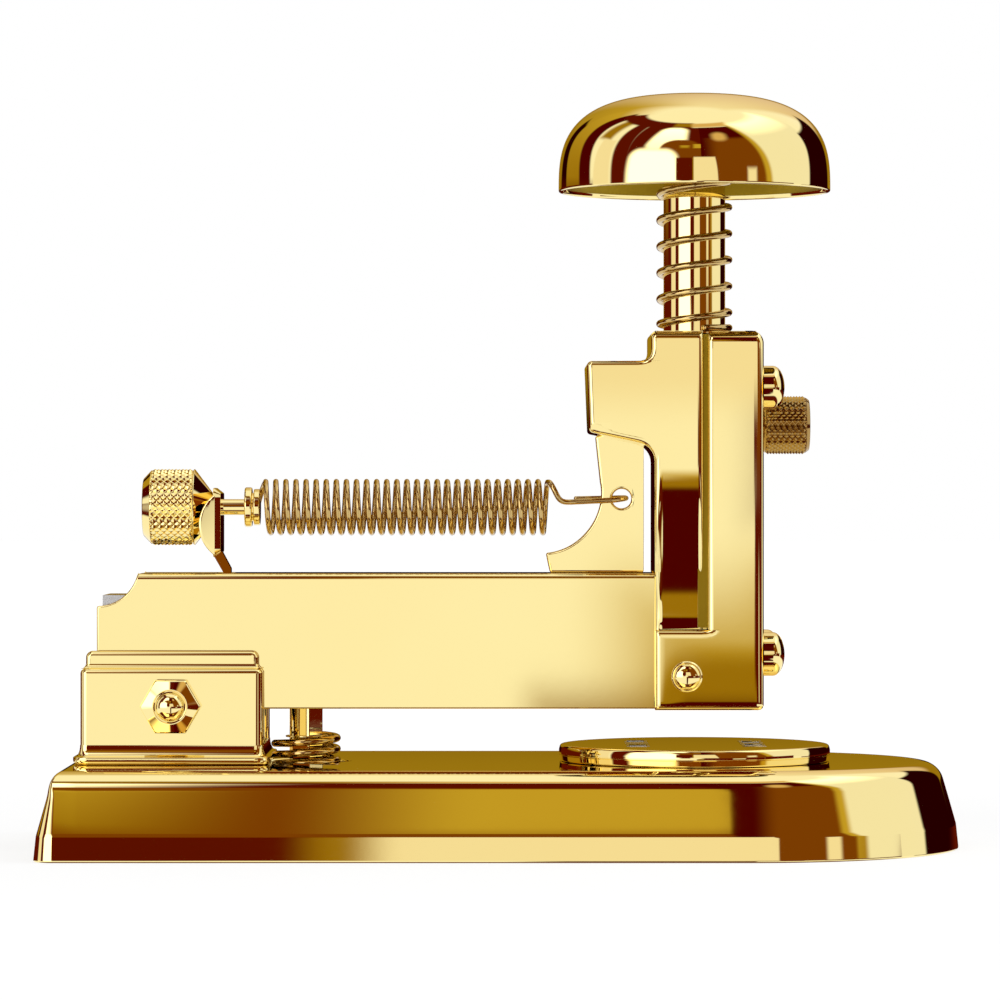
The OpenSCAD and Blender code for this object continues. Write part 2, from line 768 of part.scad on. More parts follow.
// Hardened plate with two shallow troughs that bend the staple's legs
module clinch(x, trough_y) {
    color(PALE_GOLD) difference() {
        slab(x - clinch_w / 2, x + clinch_w / 2, clinch_l / 2, anvil_z1 - clinch_t, anvil_z1);
        for (side = [-1, 1])
            translate([x, side * trough_y, anvil_z1 + trough_r - trough_deep])
                intersection() {
                    rotate([0, 90, 0]) cylinder(r = trough_r, h = clinch_w - clinch_land, center = true);
                    cube([clinch_w, trough_l, 3 * trough_r], center = true);
                }
    }
}
module clinch_plate() {
    clinch(head_x + clinch_set, closed_trough_y);
}
module tacking_plate() {
    clinch(head_x - clinch_set, open_trough_y);
}
module anvil_stud() {
    color(STEEL) translate([head_x, 0, 0])
        rod_z(stud_d, anvil_washer_z - anvil_nut_t - end_show, anvil_z0 + anvil_t / 2 - fit_slack);
}
module anvil_spring_washer() {
    color(STEEL) translate([head_x, 0, 0]) difference() {
        rod_z(anvil_nut_af + anvil_washer_out, anvil_washer_z, anvil_washer_z + anvil_washer_t);
        rod_z(stud_d + 2 * pin_fit, anvil_washer_z - EPS, anvil_washer_z + anvil_washer_t + EPS);
    }
}
module anvil_nut() {
    color(STEEL) translate([head_x, 0, 0]) difference() {
        translate([0, 0, anvil_washer_z - anvil_nut_t])
            cylinder(d = anvil_nut_af / cos(30), h = anvil_nut_t, $fn = 6);
        rod_z(stud_d + 2 * pin_fit, anvil_washer_z - anvil_nut_t - EPS, anvil_washer_z + EPS);
    }
}

// Arm
module arm_section() {
    translate([-arm_half, arm_bottom]) square([arm_w, arm_h - arm_round]);
    translate([arm_round - arm_half, arm_bottom]) square([arm_w - 2 * arm_round, arm_h]);
    for (side = [-1, 1])
        translate([side * (arm_half - arm_round), arm_top - arm_round]) circle(arm_round);
}
module rivet_holes() {
    translate([rivet_x, 0, rivet_z]) rod_y(rivet_d + 2 * pin_fit, -head_half - EPS, head_half + EPS);
}
module magazine() {
    lip_half = slot_w / 2 + arm_t;
    color(PALE_GOLD) difference() {
        union() {
            along_x(arm_rear_x, guide_rear_x) arm_section();
            translate([pivot_x, 0, pivot_z]) rod_y(2 * ear_r, -arm_half, arm_half);
        }
        difference() {
            slab(arm_rear_x - EPS, guide_rear_x + EPS, arm_in, floor_top, arm_top - arm_t);
            slab(arm_rear_x - EPS, slot_x1 + arm_t, lip_half, lip_z, arm_top);
        }
        slab(pivot_x - ear_r - EPS, pivot_x + ear_r + EPS, arm_in, pivot_z - ear_r - EPS, floor_top + EPS);
        slab(arm_rear_x - EPS, slot_x1, slot_w / 2, follower_top, arm_top + EPS);
        translate([arm_rear_x, 0, arm_top + notch_up]) rod_y(2 * notch_r, -arm_w, arm_w);
        translate([pivot_x, 0, pivot_z]) rod_y(bush_d + 2 * pin_fit, -arm_w, arm_w);
        translate([post_x, 0, 0]) rod_z(post_spigot_d + 2 * pin_fit, arm_bottom - EPS, floor_top + EPS);
        rivet_holes();
    }
}
module staple_rail() {
    rail_x0 = pivot_x + ear_r + rail_set;
    color(STEEL) difference() {
        slab(rail_x0, groove_x - blade_fit, rail_half, floor_top, rail_top);
        slab(rail_x0 - EPS, groove_x, rail_half - rail_t, floor_top - EPS, rail_top - rail_t);
    }
}

// Head
module housing_outline() {
    polygon([
        [seam_x0, joggle_z1], [seam_x0, head_top], [crown_x, head_top], [crown_x, bulge_top],
        [bulge_x, bulge_top], [bulge_x + bulge_lean, bulge_bottom],
        [column_x - bulge_fillet, bulge_bottom - bulge_sink],
        [column_x, bulge_bottom - bulge_sink], [column_x, joggle_z1]
    ]);
    difference() {
        translate([column_x - bulge_fillet, bulge_bottom - bulge_sink - bulge_fillet])
            square(bulge_fillet + EDGE_LAP);
        translate([column_x - bulge_fillet, bulge_bottom - bulge_sink - bulge_fillet]) circle(bulge_fillet);
    }
    difference() {
        translate([crown_x - crown_fillet, bulge_top - EDGE_LAP]) square(crown_fillet + EDGE_LAP);
        translate([crown_x - crown_fillet, bulge_top + crown_fillet]) circle(crown_fillet);
    }
}
// The lower sides lean in between two heights, from the head's width to the arm's
module joggled_sides(upper, lower, z0, z1, lean_z0, lean_z1) {
    polygon([
        [-lower, z0], [lower, z0], [lower, lean_z0], [upper, lean_z1], [upper, z1],
        [-upper, z1], [-upper, lean_z1], [-lower, lean_z0]
    ]);
}
module head_housing() {
    strip_bottom = cover_bottom + strip_lift;
    color(PALE_GOLD) difference() {
        union() {
            across_y(head_half) housing_outline();
            along_x(column_x, seam_x0)
                joggled_sides(head_half, strip_out, strip_bottom, joggle_z1 + EPS, joggle_z0, joggle_z1);
            // Rims at both edges of the pressed panel lean in later and more steeply
            for (x = [column_x, seam_x0 - rim_w])
                along_x(x, x + rim_w)
                    joggled_sides(head_half, strip_out, strip_bottom, joggle_z1 + EPS, rim_z0, rim_z1);
        }
        along_x(column_x + housing_t, seam_x0 + EPS)
            joggled_sides(column_in, strip_in, strip_bottom - EPS, guide_z1, joggle_z0, joggle_z1);
        slab(column_x - EPS, column_x + housing_t + EPS, strip_in, strip_bottom - EPS, arm_top + pass_gap);
        slab(bulge_x + housing_t, column_x + housing_t + EPS, column_in, bulge_bottom + housing_t,
            bulge_top - housing_t);
        slab(anchor_edge_x - anchor_slot_room, anchor_front_x + pass_gap, anchor_t / 2 + pass_gap, joggle_z1,
            bulge_bottom + anchor_slot_up);
        translate([head_x, 0, 0]) rod_z(rod_hole, guide_z1 - EPS, head_top + EPS);
        rivet_holes();
    }
}
module guide_block() {
    tail_x0 = bulge_x + housing_t + pass_gap;
    color(BRONZE) difference() {
        union() {
            slab(guide_x0, cover_in_x, guide_half, guide_z0, guide_z1);
            slab(tail_x0, guide_x0 + EPS, guide_tail_half, bulge_bottom + housing_t + pass_gap,
                bulge_top - housing_t - pass_gap);
        }
        translate([head_x, 0, 0]) rod_z(2 * rod_bore, guide_z0 - EPS, guide_z1 + EPS);
        translate([0, 0, thumb_z])
            rod_x(thumb_shank + 2 * run_fit, thumb_tip_x - pass_gap, cover_in_x + EPS);
        for (side = [-1, 1])
            translate([0, side * cover_screw_y, cover_screw_z[1]])
                rod_x(cover_screw_d + 2 * pin_fit, cover_screw_tip_x - pass_gap, cover_in_x + EPS);
        slab(tail_x0 - EPS, anchor_front_x + fit_slack, anchor_t / 2 + pin_fit, bulge_bottom,
            anchor_top + fit_slack);
    }
}
module cover_plan(x0) {
    difference() {
        union() {
            translate([x0, -head_half]) square([front_x - cover_round - x0, 2 * head_half]);
            translate([x0, cover_round - head_half]) square([front_x - x0, 2 * (head_half - cover_round)]);
            for (side = [-1, 1])
                translate([front_x - cover_round, side * (head_half - cover_round)]) circle(cover_round);
        }
        translate([x0 - EPS, -cover_in]) square([cover_in_x - x0 + EPS, 2 * cover_in]);
    }
}
module front_cover() {
    skirt_top = cover_bottom + cover_skirt;
    color(PALE_GOLD) difference() {
        union() {
            translate([0, 0, cover_bottom]) linear_extrude(cover_skirt) cover_plan(column_x);
            translate([0, 0, skirt_top]) linear_extrude(head_top - skirt_top) cover_plan(seam_x1);
            slab(seam_x1, front_x - cover_t / 2, head_half - cover_t / 2, guide_z1, head_top);
        }
        translate([head_x, 0, 0]) rod_z(rod_hole, guide_z1 - EPS, head_top + EPS);
        translate([0, 0, thumb_z]) rod_x(thumb_shank + 2 * hole_fit, cover_in_x - EPS, front_x + EPS);
        for (side = [-1, 1], z = cover_screw_z)
            translate([0, side * cover_screw_y, z])
                rod_x(cover_screw_d + 2 * pin_fit, cover_in_x - EPS, front_x + EPS);
        rivet_holes();
    }
}
module blade_guide() {
    color(STEEL) difference() {
        slab(guide_rear_x, cover_in_x, cover_in - pass_gap, arm_bottom, arm_top);
        slab(groove_x, cover_in_x + EPS, blade_half + blade_fit, arm_bottom - EPS, arm_top + EPS);
        slab(guide_rear_x - EPS, groove_x + EPS, window_half, floor_top, lip_z);
        for (side = [-1, 1])
            translate([0, side * cover_screw_y, cover_screw_z[0]])
                rod_x(cover_screw_d + 2 * pin_fit, cover_screw_tip_x - pass_gap, cover_in_x + EPS);
    }
}
module pan_screw() {
    rod_x(cover_screw_d, cover_screw_tip_x, front_x);
    difference() {
        translate([front_x, 0, 0]) rotate([0, 90, 0]) rotate_extrude() {
            square([cover_screw_head / 2, cover_screw_t - screw_round]);
            square([cover_screw_head / 2 - screw_round, cover_screw_t]);
            translate([cover_screw_head / 2 - screw_round, cover_screw_t - screw_round])
                intersection() {
                    circle(screw_round);
                    square(screw_round);
                }
        }
        translate([front_x + cover_screw_t - screw_slot_deep, -cover_screw_head, -screw_slot_w / 2])
            cube([screw_slot_deep + EPS, 2 * cover_screw_head, screw_slot_w]);
    }
}
module cover_screws() {
    color(GOLD) for (side = [-1, 1], z = cover_screw_z)
        translate([0, side * cover_screw_y, z]) pan_screw();
}
module head_rivets() {
    dome_r = (pow(rivet_head / 2, 2) + rivet_dome * rivet_dome) / (2 * rivet_dome);
    color(GOLD) for (side = [-1, 1])
        translate([rivet_x, 0, rivet_z]) rotate([side * 90, 0, 0]) {
            rod_z(rivet_d, arm_in, head_half);
            intersection() {
                translate([0, 0, head_half + rivet_dome - dome_r]) sphere(dome_r);
                rod_z(rivet_head + EPS, head_half, head_half + 2 * rivet_dome);
            }
        }
}
module spring_anchor_plate() {
    arc_r = anchor_arc_z - arm_top - anchor_foot;
    color(PALE_GOLD) across_y(anchor_t / 2) difference() {
        polygon([
            [anchor_tip_x, arm_top], [anchor_front_x, arm_top], [anchor_front_x, anchor_top],
            [anchor_edge_x + anchor_step, anchor_top], [anchor_edge_x + anchor_step, bulge_bottom],
            [anchor_edge_x - anchor_lobe, bulge_bottom - anchor_step], [anchor_edge_x, anchor_arc_z],
            [anchor_tip_x, anchor_arc_z]
        ]);
        translate([anchor_edge_x - arc_r, anchor_arc_z]) circle(arc_r);
        translate([hook_x, hook_z]) circle(d = hook_hole_d);
    }
}

// Feed spring: coils about X, then one straight wire to the anchor hole and back behind it
module feed_spring() {
    r = (feed_od - feed_wire) / 2;
    hook_y = anchor_t / 2 + feed_wire / 2 + hook_gap;
    hook_end_x = hook_x + hook_hole_d / 2 - feed_wire / 2 - pass_gap;
    hook_top = hook_z - feed_z();
    root_r = plug_d / 2 + root_gap;
    root_x = coil_x0 + feed_wire / 2;
    turns = coil_turns(r, root_x, coil_x1, feed_pitch, 90);
    coils = [for (p = turns) [p.z, p.x, p.y]];
    last = coils[len(coils) - 1];
    legs = [
        [coil_x1 + hook_rise, -0.5 * hook_y, last.z > 0 ? 0.5 * last.z : hook_bend],
        [coil_x1 + hook_run, -hook_y, hook_top - hook_dip],
        [hook_end_x - hook_bend, -hook_y, hook_top],
        [hook_end_x, -hook_y / 2, hook_top],
        [hook_end_x, hook_y / 2, hook_top],
        [hook_end_x - hook_bend, hook_y, hook_top],
        [coil_x1 + hook_run, hook_y, hook_top - hook_dip]
    ];
    root = concat([root_x], root_r * unit([coils[0].y, coils[0].z]));
    path = concat([root], coils, legs);
    echo(str("feed_spring least gap to itself: ", least_gap(path, feed_wire), " mm"));
    color(SPRING_GOLD) translate([0, 0, feed_z()]) wire_along(path, feed_wire, [1, 0, 0]);
}
module plunger_spring() {
    r = rod_d / 2 + press_spring_gap + press_wire / 2;
    path = seated_coil(r, head_top, hub_z0, press_wire, press_pitch, 90);
    echo(str("plunger_spring least gap to itself: ", least_gap(path, press_wire), " mm"));
    color(SPRING_GOLD) translate([head_x, 0, 0]) wire_along(path, press_wire, [0, 1, 0]);
}

// Plunger
CAP_STEPS = 16;
function cap_curve(r, h) =
    [for (i = [0 : CAP_STEPS])
        let (a = 90 * i / CAP_STEPS)
        [r * pow(cos(a), 2 / cap_power), cap_rim + h * pow(sin(a), 2 / cap_power)]];
module press_cap() {
    color(GOLD) translate([head_x, 0, 0]) difference() {
        rotate_extrude() polygon(concat(cap_curve(cap_d / 2, cap_h), [[0, cap_rim]]));
        rotate_extrude() intersection() {
            polygon(concat(cap_curve(cap_d / 2 - cap_t, cap_h - cap_t), [[0, cap_rim]]));
            translate([0, cap_rim - EPS]) square([cap_d, hub_z1 - cap_rim + EPS]);
        }
    }
}
module cap_hub() {
    color(GOLD) translate([head_x, 0, 0]) difference() {
        rod_z(hub_d, hub_z0, hub_z1);
        rod_z(rod_d + 2 * pin_fit, hub_z0 - EPS, rod_top + fit_slack);
    }
}
module plunger_rod() {
    color(GOLD) translate([head_x, 0, 0]) difference() {
        union() {
            rod_z(rod_d, ram_z1, rod_top);
            rod_z(spigot_d, ram_z0 + ram_floor + fit_slack, ram_z1);
        }
        translate([0, 0, ram_mid]) rod_y(ram_pin_d + 2 * pin_fit, -spigot_d, spigot_d);
    }
}
module ram() {
    color(STEEL) difference() {
        union() {
            slab(ram_x0, blade_x0, ram_half, ram_z0, ram_z1);
            translate([0, 0, ram_mid]) rod_x(ram_stud_d, blade_x0 - EPS, blade_x1);
        }
        translate([head_x, 0, 0]) rod_z(spigot_d + 2 * pin_fit, ram_z0 + ram_floor, ram_z1 + EPS);
        translate([head_x, 0, ram_mid]) rod_y(ram_pin_d + 2 * pin_fit, -ram_half - EPS, ram_half + EPS);
    }
}
module ram_pin() {
    color(STEEL) translate([head_x, 0, ram_mid]) rod_y(ram_pin_d, hole_fit - ram_half, ram_half - hole_fit);
}
module driver_blade() {
    color(STEEL) difference() {
        slab(blade_x0, blade_x1, blade_half, blade_bottom, ram_z1);
        translate([0, 0, ram_mid]) rod_x(ram_stud_d + 2 * pin_fit, blade_x0 - EPS, blade_x1 + EPS);
    }
}

// Follower
module follower_channel() {
    color(STEEL) difference() {
        slab(channel_x0, channel_x1, follower_half, channel_z0, follower_top);
        slab(channel_x0 - EPS, channel_x1 + EPS, follower_in, channel_z0 - EPS, follower_top - arm_t);
    }
}
module pusher_nose() {
    color(STEEL)
        slab(nose_x1 - nose_l, nose_x1, min(window_half - pass_gap, follower_in), rail_top + pass_gap,
            follower_top - arm_t);
}
module follower_bracket() {
    wing_r = (pow(wing_h / 2, 2) + wing_out * wing_out) / (2 * wing_out);
    wing_z = (bracket_z0 + bracket_z1) / 2 - wing_half_t;
    color(GOLD) difference() {
        union() {
            along_x(bracket_x0, bracket_x1) round_rect(-bracket_half, bracket_half, bracket_z0, bracket_z1,
                bracket_corner);
            for (side = [-1, 1])
                translate([0, side * (bracket_half - wing_half_t), 0]) across_y(wing_half_t) intersection() {
                    translate([bracket_x0 - wing_out + wing_r, wing_z]) circle(wing_r);
                    translate([bracket_x0 - wing_out, wing_z - wing_h]) square([wing_out, 2 * wing_h]);
                }
            across_y(tongue_half) polygon([
                [bracket_x0, bracket_z0 + tongue_lap], [bracket_x0, bracket_z0],
                [tongue_x1 - bracket_t, arm_top], [tongue_x1 - bracket_t, follower_top],
                [tongue_x1, follower_top], [tongue_x1, arm_top + slot_room],
                [bracket_x1, bracket_z0 + tongue_lap / 2], [bracket_x1, bracket_z0 + tongue_lap]
            ]);
        }
        translate([0, 0, feed_z()]) rod_x(rod_feed_d + 2 * pin_fit, bracket_x0 - EPS, bracket_x1 + EPS);
    }
}
module tension_rod() {
    color(GOLD) translate([0, 0, feed_z()]) rod_x(rod_feed_d, knob_x1 - knob_bore, plug_x0);
}
module spring_plug() {
    color(GOLD) translate([0, 0, feed_z()]) {
        rod_x(plug_flange_d, plug_x0, plug_x1);
        rod_x(plug_flange_d - plug_collar_in, plug_x1, plug_x2);
        rod_x(plug_d, plug_x2, plug_x2 + plug_l);
    }
}
module rear_knob() {
    length = knob_cone + knob_l + knob_bevel;
    r = knob_d / 2;
    color(GOLD) translate([knob_x1 - length, 0, feed_z()]) rotate([0, 90, 0]) difference() {
        rotate_extrude() polygon([
            [0, 0], [r - knob_face_set, 0], [r, knob_bevel], [r, knob_bevel + knob_l],
            [rod_feed_d / 2 + knob_tip, length], [0, length]
        ]);
        translate([0, 0, length - knob_bore - pass_gap])
            cylinder(d = rod_feed_d + 2 * run_fit, h = length);
    }
}

// Front thumbscrew
module front_thumbscrew() {
    r = thumb_d / 2;
    x0 = front_x + pass_gap;
    color(GOLD) translate([0, 0, thumb_z]) {
        rod_x(thumb_shank, thumb_tip_x, x0);
        translate([x0, 0, 0]) rotate([0, 90, 0]) rotate_extrude() polygon([
            [0, 0], [r - thumb_bevel, 0], [r, thumb_bevel], [r, thumb_l - thumb_bevel],
            [r - thumb_bevel, thumb_l], [0, thumb_l]
        ]);
    }
}

base();
sole_plate();
sole_pad();
pivot_block();
block_screws();
pivot_bolt();
pivot_nut();
lift_spring();
anvil_disc();
clinch_plate();
tacking_plate();
anvil_stud();
anvil_spring_washer();
anvil_nut();
magazine();
staple_rail();
pivot_bush();
head_housing();
guide_block();
front_cover();
blade_guide();
cover_screws();
head_rivets();
spring_anchor_plate();
stop_post();
spring_seat_washer();
post_nut();
plunger_spring();
feed_spring();
press_cap();
cap_hub();
plunger_rod();
ram();
ram_pin();
driver_blade();
follower_channel();
pusher_nose();
follower_bracket();
tension_rod();
spring_plug();
rear_knob();
front_thumbscrew();
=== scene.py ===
"""Dresses the gold-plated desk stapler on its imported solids.

Sizes are millimetres in the solids' own frame: X along the arm, Y across, Z up.
"""

import json
import logging
from collections.abc import Callable, Sequence
from dataclasses import dataclass
from enum import Enum
from math import pi, radians

import bmesh
import bpy
import numpy as np
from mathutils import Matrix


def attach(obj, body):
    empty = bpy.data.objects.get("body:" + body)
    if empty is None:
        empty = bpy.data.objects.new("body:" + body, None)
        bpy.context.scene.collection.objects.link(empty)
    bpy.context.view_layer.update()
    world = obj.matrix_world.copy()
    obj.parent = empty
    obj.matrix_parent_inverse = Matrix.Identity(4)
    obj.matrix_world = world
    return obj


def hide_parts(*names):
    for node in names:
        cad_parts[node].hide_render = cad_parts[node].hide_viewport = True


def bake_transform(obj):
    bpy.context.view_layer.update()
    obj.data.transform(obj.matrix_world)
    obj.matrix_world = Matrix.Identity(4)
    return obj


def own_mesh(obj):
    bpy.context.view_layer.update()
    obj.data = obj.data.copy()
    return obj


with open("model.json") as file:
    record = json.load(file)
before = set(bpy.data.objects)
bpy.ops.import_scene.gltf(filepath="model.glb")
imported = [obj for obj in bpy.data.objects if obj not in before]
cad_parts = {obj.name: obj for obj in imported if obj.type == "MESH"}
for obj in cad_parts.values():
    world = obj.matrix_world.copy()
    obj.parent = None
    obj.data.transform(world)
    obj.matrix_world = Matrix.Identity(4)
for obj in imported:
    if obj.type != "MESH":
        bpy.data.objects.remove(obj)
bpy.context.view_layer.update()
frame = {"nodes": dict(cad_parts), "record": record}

Array = np.ndarray
Pair = tuple[float, float]
Triple = tuple[float, float, float]
MM = 0.001
TURN = 2 * pi
# Where most of a noise texture's values lie
NOISE_SPAN = (0.3, 0.7)
# Faces of a solid that turn by fewer degrees than this are one face
COPLANAR = 0.4
# How far a large face outweighs a small one in the shading of their edge; 50 would be evenly
FLAT_WEIGHT = 80
log = logging.getLogger("stapler")


class Axis(Enum):
    """Which way a turned piece lies: its own axis, then the two directions round it."""

    X = (0, 1, 2)
    Y = (1, 2, 0)
    Z = (2, 0, 1)


def linear(code: str) -> Array:
    """Turns an sRGB hex colour into linear red, green and blue.

    Args:
        code: The colour as #RRGGBB.

    Returns:
        Three numbers from 0 to 1.
    """
    srgb = np.array([int(code[i:i + 2], 16) for i in (1, 3, 5)]) / 255
    return np.where(srgb <= 0.04045, srgb / 12.92, ((srgb + 0.055) / 1.055) ** 2.4)


def rgba(colour: Array) -> tuple[float, ...]:
    """Adds full cover to a linear colour."""
    return (*(float(c) for c in colour), 1.0)


def add(tree: bpy.types.NodeTree, kind: str, inputs: dict | None = None,
        **settings: object) -> bpy.types.Node:
    """Adds one node with its settings, values and links.

    Args:
        tree: The node tree that takes the node.
        kind: Blender's name of the node type.
        inputs: Socket name or number, and the value or the output socket that goes there.
        settings: The node's own properties.

    Returns:
        The new node.
    """
    node = tree.nodes.new(kind)
    for name, value in settings.items():
        setattr(node, name, value)
    for socket, value in (inputs or {}).items():
        if isinstance(value, bpy.types.NodeSocket):
            tree.links.new(value, node.inputs[socket])
        else:
            node.inputs[socket].default_value = value
    return node


@dataclass(frozen=True)
class Finish:
    """A surface finish: two close tones in soft clouds, uneven gloss and fine worked marks.

    Attributes:
        name: What the real material is.
        slot: The record's material slot.
        tone, shade: The two tones.
        gloss: Least and most roughness.
        cloud: Size of the tone's clouds.
        mark: Spacing of the worked marks.
        depth: Height of the marks.
        lie: How the marks are drawn out along X, Y and Z; a smaller number is longer.
        metallic: 1 for metal.
    """

    name: str
    slot: str
    tone: str
    shade: str
    gloss: Pair
    cloud: float
    mark: float
    depth: float
    lie: Triple = (1.0, 1.0, 1.0)
    metallic: float = 1.0

    def material(self) -> bpy.types.Material:
        """Makes the finish as a node material on Object coordinates.

        Returns:
            The material.
        """
        made = bpy.data.materials.get(self.name)
        if made:
            return made
        made = bpy.data.materials.new(self.name)
        made.use_nodes = True
        tree = made.node_tree
        tree.nodes.clear()
        spot = add(tree, "ShaderNodeTexCoord").outputs["Object"]
        clouds = add(tree, "ShaderNodeTexNoise", {
            "Vector": spot, "Scale": 1 / (self.cloud * MM), "Detail": 3.0})
        colour = add(tree, "ShaderNodeMix", {
            0: clouds.outputs[0], 6: rgba(linear(self.tone)), 7: rgba(linear(self.shade))}, data_type="RGBA")
        drawn = add(tree, "ShaderNodeMapping", {"Vector": spot, "Scale": self.lie})
        marks = add(tree, "ShaderNodeTexNoise", {
            "Vector": drawn.outputs[0], "Scale": 1 / (self.mark * MM), "Detail": 2.0})
        gloss = add(tree, "ShaderNodeMapRange", {
            "Value": marks.outputs[0], "From Min": NOISE_SPAN[0], "From Max": NOISE_SPAN[1],
            "To Min": self.gloss[0], "To Max": self.gloss[1]})
        bump = add(tree, "ShaderNodeBump", {
            "Height": marks.outputs[0], "Distance": self.depth * MM, "Strength": 1.0})
        shader = add(tree, "ShaderNodeBsdfPrincipled", {
            "Base Color": colour.outputs[2], "Metallic": self.metallic, "Roughness": gloss.outputs[0],
            "Normal": bump.outputs[0]})
        add(tree, "ShaderNodeOutputMaterial", {"Surface": shader.outputs[0]})
        return made


# Gold plate, buffed to a mirror: pale cream where it sees white, deep amber where it sees shade
GOLD = Finish("gold_plate_buffed", "gold_plate", "#FFEEA9", "#FFEAA3", (0.022, 0.029), 30.0, 1.6, 0.0002)
# Gold-plated spring wire: drawn through a die, so softer in its gloss than the buffed sheet; its tones,
# darker and duller than the sheet's, are painted shade between the coils
WIRE = Finish("gold_plated_drawn_wire", "gold_wire", "#D6BB80", "#C6A666", (0.09, 0.13), 3.0, 0.8, 0.0004)
# Gold plate over knurling, rougher and browner than the buffed sheet: the browner tone is painted shade on
# the knurl
SHADED_KNURL_GOLD = Finish("gold_plate_knurl_painted_shade", "gold_plate", "#BC9C62", "#A5834A", (0.07, 0.12), 4.0, 0.5, 0.001)
# Darker, rough gold inside the seam and the cap: painted shade for these hollows, and the roughness averages
# what it sees
SHADED_GOLD = Finish("rough_gold_painted_shade", "gold_plate", "#A88C26", "#987A1A", (0.38, 0.46), 6.0, 0.4, 0.002)
# Bright mild steel: cool and even, with fine grinding marks along the arm
STEEL = Finish("ground_bright_steel", "steel", "#D9D9D8", "#C8C9CB", (0.16, 0.28), 12.0, 0.35, 0.002,
               (0.08, 1.0, 1.0))
# Turned bearing bronze: browner than the plate, with a satin tool finish
BRONZE = Finish("turned_bearing_bronze", "bronze", "#C9A063", "#B78A4E", (0.2, 0.32), 9.0, 0.4, 0.002)
# Moulded rubber: near black, dull, with a fine pebble
RUBBER = Finish("moulded_rubber", "rubber", "#2A2826", "#201E1D", (0.6, 0.8), 6.0, 0.5, 0.03, metallic=0.0)

SLOT_FINISH = {finish.slot: finish for finish in (GOLD, WIRE, STEEL, BRONZE, RUBBER)}


def mesh_object(name: str, points: Array, faces: Array, sharp: float = 32.0) -> bpy.types.Object:
    """Makes one closed mesh, with doubles merged and every face turned outwards.

    Points that agree to a micron become one, and a face that has lost a corner becomes a triangle.

    Args:
        name: The object's name.
        points: Points in millimetres, one a row.
        faces: Point numbers, one face a row.
        sharp: Edges that turn by more degrees than this stay sharp.

    Returns:
        The new object, at the origin.
    """
    _, first, again = np.unique(np.round(points, 3), axis=0, return_index=True, return_inverse=True)
    faces = again.reshape(-1)[faces]
    keep = faces != np.roll(faces, -1, axis=1)
    corners = keep.sum(axis=1)
    keep[corners < 3] = False
    corners = corners[corners >= 3]
    mesh = bpy.data.meshes.new(name)
    mesh.vertices.add(len(first))
    mesh.vertices.foreach_set("co", (points[first] * MM).astype(np.float32).ravel())
    mesh.loops.add(int(corners.sum()))
    mesh.loops.foreach_set("vertex_index", faces[keep].astype(np.int32))
    mesh.polygons.add(len(corners))
    mesh.polygons.foreach_set("loop_start", np.concatenate([[0], np.cumsum(corners)[:-1]]).astype(np.int32))
    mesh.update(calc_edges=True)
    mesh.validate()
    shape = bmesh.new()
    shape.from_mesh(mesh)
    bmesh.ops.recalc_face_normals(shape, faces=shape.faces)
    shape.to_mesh(mesh)
    shape.free()
    mesh.polygons.foreach_set("use_smooth", np.ones(len(mesh.polygons), bool))
    mesh.set_sharp_from_angle(angle=radians(sharp))
    piece = bpy.data.objects.new(name, mesh)
    bpy.context.scene.collection.objects.link(piece)
    return piece


def smooth(t: Array) -> Array:
    """Eases a share from 0 to 1, flat at both ends: 3 t^2 - 2 t^3."""
    t = np.clip(t, 0, 1)
    return t * t * (3 - 2 * t)


def fall(away: Array, radius: float) -> Array:
    """Gives how far an edge that an arc rounds falls: radius (1 - sqrt(1 - (1 - away / radius)^2))."""
    near = 1 - np.clip(away / radius, 0, 1)
    return radius * (1 - np.sqrt(1 - near ** 2))


class Shell:
    """One piece's surface, gathered from grids of points in millimetres."""

    def __init__(self) -> None:
        """Starts with no points."""
        self.points: list[Array] = []
        self.faces: list[Array] = []
        self.total = 0

    def grid(self, points: Array, ring: bool = True) -> None:
        """Adds a grid of points as four-sided faces.

        Args:
            points: Rows by columns by three.
            ring: True joins the last column to the first.
        """
        rows, columns = points.shape[:2]
        number = self.total + np.arange(rows * columns).reshape(rows, columns)
        if ring:
            number = np.concatenate([number, number[:, :1]], axis=1)
        quads = np.stack([number[:-1, :-1], number[:-1, 1:], number[1:, 1:], number[1:, :-1]], axis=-1)
        self.points.append(points.reshape(-1, 3))
        self.faces.append(quads.reshape(-1, 4))
        self.total += rows * columns

    def sheet(self, middle: Array, normal: Array, thick: float, edge: float, border: Array) -> None:
        """Adds a sheet of metal round a middle surface.

        Each side stands off along the normal by half the thickness, and the outer one falls round the border.

        Args:
            middle: The middle surface, rows by columns by three.
            normal: Its normals, of a shape that broadcasts to it.
            thick: The sheet's thickness.
            edge: Radius of its outer side's eased edges.
            border: Distance of each point from the border.
        """
        front = middle + (thick / 2 - fall(border, edge))[..., None] * normal
        back = middle - thick / 2 * normal
        self.grid(front, ring=False)
        self.grid(back, ring=False)
        for cut in (np.s_[0], np.s_[-1], np.s_[:, 0], np.s_[:, -1]):
            self.grid(np.stack([front[cut], back[cut]]), ring=False)

    def build(self, name: str, sharp: float = 40.0) -> bpy.types.Object:
        """Makes the gathered surface one object."""
        return mesh_object(name, np.concatenate(self.points), np.concatenate(self.faces), sharp)


def one_grid(name: str, points: Array, sharp: float = 40.0) -> bpy.types.Object:
    """Makes one grid, joined round its rows, an object by itself.

    Args:
        name: The object's name.
        points: Rows by columns by three.
        sharp: Edges that turn by more degrees than this stay sharp.

    Returns:
        The new object.
    """
    shell = Shell()
    shell.grid(points)
    return shell.build(name, sharp)


